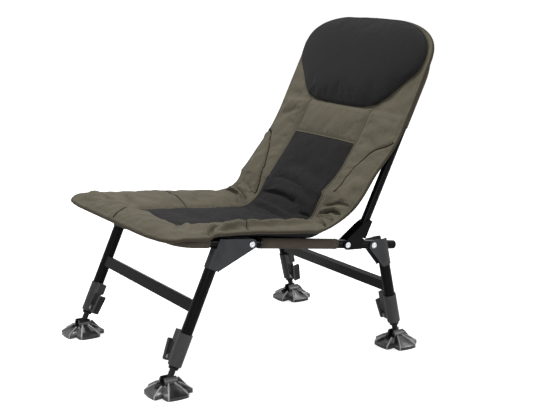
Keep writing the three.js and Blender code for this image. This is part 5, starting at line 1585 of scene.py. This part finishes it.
def length(name, description, default, low, high):
    """A length for the sidebar, in metres."""
    return FloatProperty(
        name=name, description=description, default=default, min=low, max=high, unit="LENGTH"
    )


class ChairSizes(PropertyGroup):
    border_crown: length(
        "Border crown", "How far the wide borders stand above their edge and seam", 0.012, 0, 0.03
    )
    seam_depth: length(
        "Seam depth", "How deep the mattress's seams are drawn in", 0.0035, 0, 0.01
    )
    pressure: FloatProperty(
        name="Pressure",
        description="How hard the filling pushes on the cloth",
        default=3.0,
        min=0.0,
        max=20.0,
    )
    most_swell: length(
        "Most swell", "The furthest that a point of the cloth may be pushed", 0.006, 0, 0.03
    )
    pillow_thickness: length(
        "Pillow thickness", "Of the head pillow at its middle", 0.024, 0.01, 0.06
    )
    piping_radius: length(
        "Piping radius", "Of the cord round the mattress's edge", 0.0024, 0.001, 0.006
    )
    seam_radius: length(
        "Seam cord radius", "Of the thin cord in the middle panel's seams", 0.0015, 0.0005, 0.003
    )
    stitch_pitch: length("Stitch pitch", "From one stitch to the next", 0.0045, 0.002, 0.02)
    weave: length(
        "Weave pitch", "From one thread of the canvas to the next", 0.0013, 0.0004, 0.005
    )
    tube_sides: IntProperty(
        name="Tube sides", description="Round each metal tube", default=32, min=8, max=96
    )


def colour(name, description, red, green, blue):
    return FloatVectorProperty(
        name=name,
        description=description,
        default=linear(red, green, blue),
        subtype="COLOR",
        size=3,
        min=0.0,
        max=1.0,
    )


class ChairColours(PropertyGroup):
    olive: colour("Olive", "The mattress's borders", 97, 93, 80)
    panel: colour("Panel", "The mattress's middle panels", 33, 32, 33)
    pillow: colour("Pillow", "The head pillow", 35, 35, 36)
    lining: colour("Lining", "The mattress's underside", 26, 26, 27)
    sling: colour("Sling", "The cloth under the mattress", 76, 69, 60)
    piping: colour("Piping", "The cord round the mattress", 66, 60, 50)
    seam: colour("Seam cord", "The thin cord beside the panels", 108, 104, 90)
    thread: colour("Thread", "The stitches", 84, 80, 68)
    frame: colour("Frame", "The black tubes", 13, 13, 15)
    bracket: colour("Brackets", "The pressed brackets", 46, 47, 50)
    zinc: colour("Zinc", "The rivets", 224, 226, 230)
    clamp: colour("Clamps", "The leg clamps", 70, 70, 71)
    lever: colour("Levers", "The clamps' levers", 38, 38, 40)
    cap: colour("Caps", "Caps and collars", 16, 16, 18)
    foot: colour("Feet", "The mud feet", 30, 30, 31)


class CHAIR_OT_mattress(Operator):
    """Builds the padded mattress with its piping and stitches"""

    bl_idname = "chair.mattress"
    bl_label = "Mattress"

    def execute(self, context):
        sizes = context.scene.chair_sizes
        grid = make_mattress(sizes)
        make_mattress_trim(grid, sizes)
        make_seam_shadow_cords(grid)
        blend_to_back(grid.piece)
        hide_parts("seat_cushion", "crease_strip", "back_cushion")
        return {"FINISHED"}


class CHAIR_OT_pillow(Operator):
    """Builds the head pillow on the back"""

    bl_idname = "chair.pillow"
    bl_label = "Head pillow"

    def execute(self, context):
        make_pillow(context.scene.chair_sizes)
        return {"FINISHED"}


# The sling along the rails, whose sleeves leave the rails bare beside the front brackets
SLING_START = -0.168
SLING_END = 0.226
SLEEVE_GAP_START = -0.099
SLEEVE_GAP_END = 0.028
BARE_HALF = 0.1985
SLING_CLEARANCE = 0.0001

# The rows of stitches on a rear sleeve: how far they are from its ends, the x of the long row on
# the sling, and the x and the height of the one under the rail
HEM_INSET = 0.003
INNER_ROW = 0.198
UNDER_ROW = 0.2045
UNDER_ROW_HEIGHT = -SLEEVE_RADIUS * 0.35


def sling_half_width(along):
    """Half the sling's width: to the sleeves, and short of the rails where these are bare."""
    if SLEEVE_GAP_START <= along <= SLEEVE_GAP_END:
        return BARE_HALF
    ahead = max(0.0, RAIL_BEND - FRONT_REACH - along)
    return HALF_SPACING - 0.0002 - (RAIL_BEND - math.sqrt(max(0, RAIL_BEND**2 - ahead**2)))


def sling_flat(across, share):
    return (across * 2 - 1) * HALF_SPACING, lerp(SLING_START, SLING_END, share)


def sling_place(across, share):
    _, along = sling_flat(across, share)
    x = (across * 2 - 1) * sling_half_width(along)
    return seat_place(x, along, sling_height(x, along) - SLING_CLEARANCE)


def sleeve_seams(sign, run):
    """The stitched lines on one rear sleeve: round its ends, on the sling and under the rail."""
    lines = []
    rail = sign * HALF_SPACING
    radius = SLEEVE_RADIUS + SLING_CLEARANCE
    for along in (SLEEVE_GAP_END + HEM_INSET, SLING_END - HEM_INSET):
        axis = seat_place(rail, along, 0)
        turns = [share * 2 * math.pi for share in even_shares(24)]
        ring = [seat_place(rail + radius * math.cos(a), along, radius * math.sin(a)) for a in turns]
        lines.append((ring, [(point - axis).normalized() for point in ring]))
    inner = [seat_place(sign * INNER_ROW, along, sling_height(INNER_ROW, along)) for along in run]
    lines.append((inner, [seat_normal()] * len(inner)))
    outward = (seat_normal() * 0.2 + Vector((sign, 0, 0))).normalized()
    under = [seat_place(sign * UNDER_ROW, along, UNDER_ROW_HEIGHT) for along in run]
    lines.append((under, [-outward] * len(under)))
    return lines


class CHAIR_OT_sling(Operator):
    """Builds the cloth sling with its sleeves round the seat rails"""

    bl_idname = "chair.sling"
    bl_label = "Sling"

    def execute(self, context):
        panel = sheet_piece("sling_panel", 66, 48, sling_place, sling_flat, WEBBING_THICKNESS)
        settle(panel, "seat_frame", "sling_cloth", "suspension_sling")
        ends = [(HALF_SPACING, SLEEVE_GAP_START), (-HALF_SPACING, SLEEVE_GAP_START)]
        front = seat_path([ends[0]] + front_corner() + [ends[1]])
        pieces = [open_sleeve("sling_front_sleeve", front)]
        run = [lerp(SLEEVE_GAP_END, SLING_END, share) for share in even_shares(12)]
        lines = []
        for side in LEG_SIDES:
            sign = SIDE_SIGN[side]
            rail = seat_path([(sign * HALF_SPACING, along) for along in run])
            pieces.append(open_sleeve(f"sling_rear_sleeve_{side}", rail))
            lines += sleeve_seams(sign, run)
        for piece in pieces:
            settle(piece, "seat_frame", "sling_cloth")
        pitch = context.scene.chair_sizes.stitch_pitch
        stitches = hem_stitches("sling_stitches", lines, pitch, "seat_frame")
        pieces + [stitches]
        return {"FINISHED"}


# The rows of stitches on the back cloth: how far in they run, and how far behind its front face
BACK_HEM_INSET = 0.018
BACK_HEM_HALF = 0.200
STITCH_BEHIND = 0.0014


def behind_cloth(x, up):
    """How far behind the back's rivets the front face of the cloth is."""
    return BACK_SETBACK - SLEEVE_RADIUS + SLING_CLEARANCE + back_sag(x, up)


def back_cloth_flat(across, share):
    up = lerp(BACK_CLOTH_START, BACK_TOP - 0.0005, math.sin(share * math.pi / 2))
    return (across * 2 - 1) * HALF_SPACING, up


def back_cloth_place(across, share):
    _, up = back_cloth_flat(across, share)
    x = (across * 2 - 1) * hoop_half_width(up)
    return back_place(x, behind_cloth(x, up), up)


def back_cloth_seams():
    """The stitched lines of the back cloth: along its lower hem and inside its sleeve."""
    across = [lerp(BACK_HEM_HALF, -BACK_HEM_HALF, share) for share in even_shares(40)]
    hem = [(x, BACK_CLOTH_START, 0.008) for x in across]
    inward = 1 - BACK_HEM_INSET / HALF_SPACING
    hoop = hoop_path(BACK_CLOTH_START + 0.004)
    seam = [(x * inward, up, -BACK_HEM_INSET if up > 0.44 else 0) for x, up in hoop]
    lines = []
    for row in (hem, seam):
        line = []
        for x, up, rise in row:
            line.append(back_place(x, behind_cloth(x, up) + STITCH_BEHIND, up + rise))
        lines.append((line, [-back_normal()] * len(line)))
    return lines


class CHAIR_OT_back_cloth(Operator):
    """Builds the cloth behind the back with its sleeve round the back tube"""

    bl_idname = "chair.back_cloth"
    bl_label = "Back cloth"

    def execute(self, context):
        panel = sheet_piece(
            "back_cloth_panel", 40, 48, back_cloth_place, back_cloth_flat, -WEBBING_THICKNESS
        )
        settle(panel, "backrest", "sling_cloth", "backrest_cloth")
        hoop = [back_place(x, BACK_SETBACK, up) for x, up in hoop_path(BACK_CLOTH_START)]
        sleeve = open_sleeve("back_cloth_sleeve", hoop)
        settle(sleeve, "backrest", "sling_cloth")
        pitch = context.scene.chair_sizes.stitch_pitch
        stitches = hem_stitches("back_cloth_stitches", back_cloth_seams(), pitch, "backrest")
        return {"FINISHED"}


def metal_tube(node, path, radius, body):
    """A powder-coated tube in the place of a CAD node, with softened ends."""
    sides = bpy.context.scene.chair_sizes.tube_sides
    piece = tube(f"{node}_made", path, radius, "black_powder_coat", sides)
    settle(softened(piece, 0.0006), body, "black_frame", node)


class CHAIR_OT_tubes(Operator):
    """Builds the bent seat tube and back tube, with their caps and collars"""

    bl_idname = "chair.tubes"
    bl_label = "Seat and back tubes"

    def execute(self, context):
        line = [(HALF_SPACING, RAIL_END)] + front_corner(12) + [(-HALF_SPACING, RAIL_END)]
        metal_tube("seat_tube", seat_path(line), RAIL_RADIUS, "seat_frame")
        hoop = [back_place(x, BACK_SETBACK, up) for x, up in hoop_path(BACK_FOOT, 24)]
        metal_tube("backrest_tube", hoop, RAIL_RADIUS, "backrest")
        for side in LEG_SIDES:
            for piece, width in (("rail_end_cap", 0.0006), ("rail_collar", 0.0004)):
                refined(f"{piece}_{side}", "seat_frame", "black_plastic", "cap_plastic", width)
        return {"FINISHED"}


# Each leg: its end of the chair and its side
LEG_ENDS = ("front", "rear")
LEGS = [(end, side) for end in LEG_ENDS for side in LEG_SIDES]


def leg_line(end, side):
    """A leg's ball centre and the way up its axis."""
    ball = FRONT_BALL if end == "front" else REAR_BALL
    down = FRONT_LEG_DOWN if end == "front" else REAR_LEG_DOWN
    return Vector((ball.x * SIDE_SIGN[side], ball.y, ball.z)), -down


def leg_tube(node, ball, up, radius, body):
    """A leg's tube along its axis, as long as the CAD node that it stands for."""
    low, high = reach_along(node, ball, up)
    path = [ball + up * lerp(low, high, share) for share in even_shares(4)]
    metal_tube(node, path, radius, body)


class CHAIR_OT_legs(Operator):
    """Builds the outer and inner leg tubes and the crossbars"""

    bl_idname = "chair.legs"
    bl_label = "Legs"

    def execute(self, context):
        for end in LEG_ENDS:
            body = f"{end}_legs"
            for side in LEG_SIDES:
                ball, up = leg_line(end, side)
                inner = f"inner_leg_{end}_{side}"
                leg_tube(f"{end}_leg_tube_{side}", ball, up, LEG_RADIUS, body)
                leg_tube(inner, ball, up, INNER_LEG_RADIUS, inner)
            refined(f"{end}_crossbar", body, "black_frame", "black_powder_coat", 0.0022)
        return {"FINISHED"}


class CHAIR_OT_brackets(Operator):
    """Builds the folded brackets of the legs and the back"""

    bl_idname = "chair.brackets"
    bl_label = "Brackets"

    def execute(self, context):
        for side in LEG_SIDES:
            for bracket, body, finish in (
                ("backrest_bracket", "backrest", "black_powder_coat"),
                ("front_leg_bracket", "front_legs", "grey_powder_coat"),
                ("rear_leg_bracket", "rear_legs", "grey_powder_coat"),
            ):
                refined(f"{bracket}_{side}", body, "grey_bracket", finish, 0.0006)
        return {"FINISHED"}


class CHAIR_OT_rivets(Operator):
    """Builds the bright rivets that the legs and the back turn on"""

    bl_idname = "chair.rivets"
    bl_label = "Rivets"

    def execute(self, context):
        for side in LEG_SIDES:
            for place in ("front_leg", "backrest", "rear_leg"):
                node = f"{place}_rivet_{side}"
                refined(node, "seat_frame", "zinc_fastener", "bright_zinc", 0.0005)
        return {"FINISHED"}


class CHAIR_OT_clamps(Operator):
    """Builds the leg clamps, their levers and their pins"""

    bl_idname = "chair.clamps"
    bl_label = "Leg clamps"

    def execute(self, context):
        for end, side in LEGS:
            leg = f"{end}_{side}"
            lever = f"clamp_lever_{leg}"
            refined(f"clamp_housing_{leg}", f"{end}_legs", "clamp_plastic", "clamp_nylon", 0.0007)
            refined(lever, lever, "clamp_plastic", "lever_nylon", 0.0008)
            refined(f"lever_pin_{leg}", f"{end}_legs", "zinc_fastener", "dull_zinc", 0.0004)
        return {"FINISHED"}


# A mud foot's wings, with the ground at 0 and its ball's centre above the middle
FOOT_RADIUS = 0.049
FOOT_NOTCH_RADIUS = 0.042
FOOT_RIM = 0.0065
FOOT_ARCH = 0.004
FOOT_SKIN = 0.0035
HUB_SKIRT_RADIUS = 0.015
HUB_SKIRT_HEIGHT = 0.024
LOBE_HALF = math.radians(27)
NOTCH_HALF = math.radians(45)

# Columns of half a lobe: their angle from its middle, a shift beside the rib, and their rise
LOBE_COLUMNS = [
    (0.0, 0.0, 0.0006),
    (8.0, 0.0, 0.0006),
    (16.0, 0.0, 0.0007),
    (27.0, -0.0022, 0.0009),
    (27.0, -0.0012, 0.0028),
    (27.0, -0.0004, 0.0034),
    (27.0, 0.0004, 0.0034),
    (27.0, 0.0012, 0.0027),
    (27.0, 0.0022, 0.0012),
    (37.0, 0.0, 0.0006),
    (42.5, 0.0, 0.0005),
]

# Rings of the wings from the hub out, the rise where a rib's painted highlight begins, and its height
WING_SHARES = (0.0, 0.06, 0.2, 0.35, 0.5, 0.65, 0.8, 0.93, 1.0)
RIB_HIGHLIGHT_FROM = 0.0013
RIB_HIGHLIGHT_OVER = 0.0018
WING_OVERHANG = 0.0006


def foot_reach(from_lobe):
    """How far a wing's edge is from the hub, and how high it stands off the ground."""
    into = max(0.0, (from_lobe - LOBE_HALF) / (NOTCH_HALF - LOBE_HALF))
    chord = FOOT_RADIUS * math.cos(LOBE_HALF) / math.cos(from_lobe)
    return lerp((chord + FOOT_RADIUS) / 2, FOOT_NOTCH_RADIUS, into), FOOT_ARCH * into


def wing_height(from_lobe, share):
    """The height of the wings' solid, from the hub at 0 to the edge at 1."""
    into = max(0.0, (from_lobe - LOBE_HALF) / (NOTCH_HALF - LOBE_HALF))
    along = min(1.0, from_lobe / LOBE_HALF)
    middle = (HUB_SKIRT_HEIGHT + FOOT_RIM) / 2
    middle += FOOT_SKIN * (along**2 - 0.5) * (1 - into)
    if share < 0.5:
        return lerp(HUB_SKIRT_HEIGHT, middle, share * 2)
    return lerp(middle, FOOT_RIM + FOOT_ARCH * into, share * 2 - 1)


def wing_start(angle):
    """Where the wings' skin begins, clear of the ball's mouth in front and the eyelet behind."""
    for middle, extra, half in ((-90, 0.0150, 42), (90, 0.0080, 42)):
        off = abs((angle - middle + 180) % 360 - 180) / half
        if off < 1:
            return HUB_SKIRT_RADIUS + extra * (1 - off * off)
    return HUB_SKIRT_RADIUS


def wing_columns():
    """Round all four lobes: each column's angle, its lobe's angle, its shift and its rise."""
    columns = []
    for lobe in range(0, 360, 90):
        turned = [(-angle, -shift, rise) for angle, shift, rise in LOBE_COLUMNS[:0:-1]]
        for angle, shift, rise in turned + LOBE_COLUMNS + [(45, 0.0, 0.0005)]:
            columns.append((lobe + angle, lobe, shift, rise))
    return columns


def wing_place(column, share, underside=False):
    """A point of the wings' skin, or of its rim's lower edge, from the foot's middle."""
    angle, lobe, shift, rise = column
    from_lobe = abs(math.radians(angle - lobe))
    edge, lift = foot_reach(from_lobe)
    radius = lerp(wing_start(angle), edge + WING_OVERHANG, share)
    way = math.radians(angle) + shift / radius
    shown = (radius - HUB_SKIRT_RADIUS) / (edge - HUB_SKIRT_RADIUS)
    height = lift + 0.0004 if underside else wing_height(from_lobe, clamp(shown)) + rise
    return Vector((radius * math.cos(way), radius * math.sin(way), height))


def foot_wings(leg, centre):
    """The ribbed skin of a foot's four wings: raised ribs with a hollow between them, and a painted
    highlight on the ribs.
    """
    columns = wing_columns()
    rings = [[wing_place(column, share) for column in columns] for share in WING_SHARES]
    rings.append([wing_place(column, 1.0, True) for column in columns])
    shape = bmesh.new()
    # Each column's rise marks where the painted highlight lies on the ribs
    rubbed = shape.verts.layers.float.new("rubbed")
    loops = []
    for ring in rings:
        verts = [shape.verts.new(place + centre) for place in ring]
        for vert, (_, _, _, rise) in zip(verts, columns):
            vert[rubbed] = clamp((rise - RIB_HIGHLIGHT_FROM) / RIB_HIGHLIGHT_OVER)
        loops.append([shape.edges.new(pair) for pair in zip(verts, verts[1:] + verts[:1])])
    for inner, outer in zip(loops, loops[1:]):
        bmesh.ops.bridge_loops(shape, edges=inner + outer)
    bmesh.ops.recalc_face_normals(shape, faces=shape.faces)
    if sum(face.normal.z * face.calc_area() for face in shape.faces) < 0:
        bmesh.ops.reverse_faces(shape, faces=shape.faces)
    piece = object_from(f"foot_wings_{leg}", shape, ["ribbed_foot"])
    piece.data.set_sharp_from_angle(angle=math.radians(26))
    wall_of(piece, 0.0012)
    settle(piece, f"mud_foot_{leg}", "foot_plastic")


class CHAIR_OT_feet(Operator):
    """Builds the mud feet and the ball studs in them"""

    bl_idname = "chair.feet"
    bl_label = "Mud feet"

    def execute(self, context):
        for end, side in LEGS:
            leg = f"{end}_{side}"
            stud, foot = f"ball_stud_{leg}", f"mud_foot_{leg}"
            refined(stud, stud, "black_plastic", "cap_plastic", 0.0004)
            refined(foot, foot, "foot_plastic", "ribbed_foot", 0.0006)
            ball, _ = leg_line(end, side)
            foot_wings(leg, Vector((ball.x, ball.y, 0)))
        return {"FINISHED"}


# Each lamp: its name, where it is, what it aims at, its size and its power
LAMPS = (
    ("key", (-0.3, -0.4, 2.9), (0, -0.05, 0.35), 1.0, 56),
    ("fill", (2.6, -2.2, 1.7), (0, 0, 0.35), 1.0, 18),
    ("rim", (-1.2, 2.6, 2.2), (0, 0.1, 0.5), 1.2, 22),
    ("side", (2.6, 1.8, 1.4), (0, 0.1, 0.3), 0.9, 24),
)


class CHAIR_OT_stage(Operator):
    """Sets up the pale floor, the soft lamps and the camera"""

    bl_idname = "chair.stage"
    bl_label = "Studio"

    def execute(self, context):
        make_floor()
        make_world()
        for name, place, aim, size, power in LAMPS:
            make_lamp(name, Vector(place), Vector(aim), size, power)
        make_camera()
        context.scene.view_settings.view_transform = "Standard"
        return {"FINISHED"}


def make_floor():
    """A pale floor that only its shadows tell from the white behind it."""
    shape = bmesh.new()
    bmesh.ops.create_grid(shape, x_segments=1, y_segments=1, size=40)
    finish = Finish(bpy.data.materials.new("pale_floor"))
    rays = finish.node("ShaderNodeLightPath")
    seen = rays.out("Is Camera Ray")
    other = rays.out("Is Glossy Ray").most(rays.out("Is Transmission Ray"))
    lit = finish.node(
        "ShaderNodeBsdfDiffuse", None, {"Color": (0.86, 0.86, 0.86, 1), "Roughness": 0.6}
    ).out("BSDF")
    glow = finish.node(
        "ShaderNodeEmission", None, {"Color": (1, 1, 1, 1), "Strength": seen * 0.75 + other * 0.2}
    ).out("Emission")
    both = finish.node("ShaderNodeAddShader", None, {0: lit, 1: glow}).out("Shader")
    finish.node("ShaderNodeOutputMaterial", None, {"Surface": both})
    floor = object_from("floor", shape, [])
    floor.data.materials.append(finish.owner)


def make_world():
    """Even pale light, and a white that the camera and polished metal see."""
    world = bpy.data.worlds.new("studio")
    bpy.context.scene.world = world
    sky = Finish(world)
    rays = sky.node("ShaderNodeLightPath")
    through = rays.out("Is Camera Ray").most(rays.out("Is Transmission Ray"))
    shown = through.most(rays.out("Is Glossy Ray"))
    light, white = (
        sky.node("ShaderNodeBackground", None, {"Color": colour, "Strength": strength})
        for colour, strength in (((0.97, 0.985, 1.0, 1), 0.34), ((1, 1, 1, 1), 1.0))
    )
    shades = {0: shown, 1: light.out("Background"), 2: white.out("Background")}
    both = sky.node("ShaderNodeMixShader", None, shades).out("Shader")
    sky.node("ShaderNodeOutputWorld", None, {"Surface": both})


def make_lamp(name, place, aim, size, power):
    lamp = bpy.data.lights.new(name, "AREA")
    lamp.shape = "SQUARE"
    lamp.size = size
    lamp.energy = power
    holder = bpy.data.objects.new(name, lamp)
    turn = (aim - place).to_track_quat("-Z", "Y").to_matrix().to_4x4()
    holder.matrix_world = Matrix.Translation(place) @ turn
    bpy.context.scene.collection.objects.link(holder)


# The camera as the photograph's was fitted: where it is, its turn and its lens in mm
CAMERA_PLACE = (2.0454, -1.2884, 0.8292)
CAMERA_AZIMUTH = math.radians(56.85)
CAMERA_DROP = math.radians(12.09)
CAMERA_ROLL = 0.01745
CAMERA_LENS = 72.40


def make_camera():
    azimuth, drop, roll = CAMERA_AZIMUTH, CAMERA_DROP, CAMERA_ROLL
    forward = Vector(
        (
            -math.sin(azimuth) * math.cos(drop),
            math.cos(azimuth) * math.cos(drop),
            -math.sin(drop),
        )
    )
    level = Vector((math.cos(azimuth), math.sin(azimuth), 0))
    upright = level.cross(forward)
    right = level * math.cos(roll) + upright * math.sin(roll)
    up = upright * math.cos(roll) - level * math.sin(roll)
    camera = bpy.data.cameras.new("camera")
    camera.sensor_fit = "HORIZONTAL"
    camera.sensor_width = 36
    camera.lens = CAMERA_LENS
    holder = bpy.data.objects.new("camera", camera)
    turn = Matrix((right, up, -forward)).transposed().to_4x4()
    holder.matrix_world = Matrix.Translation(CAMERA_PLACE) @ turn
    bpy.context.scene.collection.objects.link(holder)
    bpy.context.scene.camera = holder


BUILD_ORDER = (
    "stage",
    "tubes",
    "legs",
    "brackets",
    "rivets",
    "clamps",
    "feet",
    "sling",
    "back_cloth",
    "mattress",
    "pillow",
)


class CHAIR_PT_sidebar(Panel):
    """Lists the chair's sizes, colours and pieces"""

    bl_idname = "CHAIR_PT_sidebar"
    bl_label = "Fishing chair"
    bl_space_type = "VIEW_3D"
    bl_region_type = "UI"
    bl_category = "Chair"

    def draw(self, context):
        column = self.layout.column(align=True)
        for step in BUILD_ORDER:
            column.operator(f"chair.{step}")
        for group in (context.scene.chair_sizes, context.scene.chair_colours):
            box = self.layout.box().column(align=True)
            for name in group.__annotations__:
                box.prop(group, name)


CLASSES = (
    ChairSizes,
    ChairColours,
    CHAIR_OT_stage,
    CHAIR_OT_tubes,
    CHAIR_OT_legs,
    CHAIR_OT_brackets,
    CHAIR_OT_rivets,
    CHAIR_OT_clamps,
    CHAIR_OT_feet,
    CHAIR_OT_sling,
    CHAIR_OT_back_cloth,
    CHAIR_OT_mattress,
    CHAIR_OT_pillow,
    CHAIR_PT_sidebar,
)


def register():
    for group in CLASSES:
        bpy.utils.register_class(group)
    bpy.types.Scene.chair_sizes = PointerProperty(type=ChairSizes)
    bpy.types.Scene.chair_colours = PointerProperty(type=ChairColours)


def unregister():
    del bpy.types.Scene.chair_colours
    del bpy.types.Scene.chair_sizes
    for group in reversed(CLASSES):
        bpy.utils.unregister_class(group)


def main():
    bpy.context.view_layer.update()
    register()
    for step in BUILD_ORDER:
        getattr(bpy.ops.chair, step)()


if __name__ == "__main__":
    main()
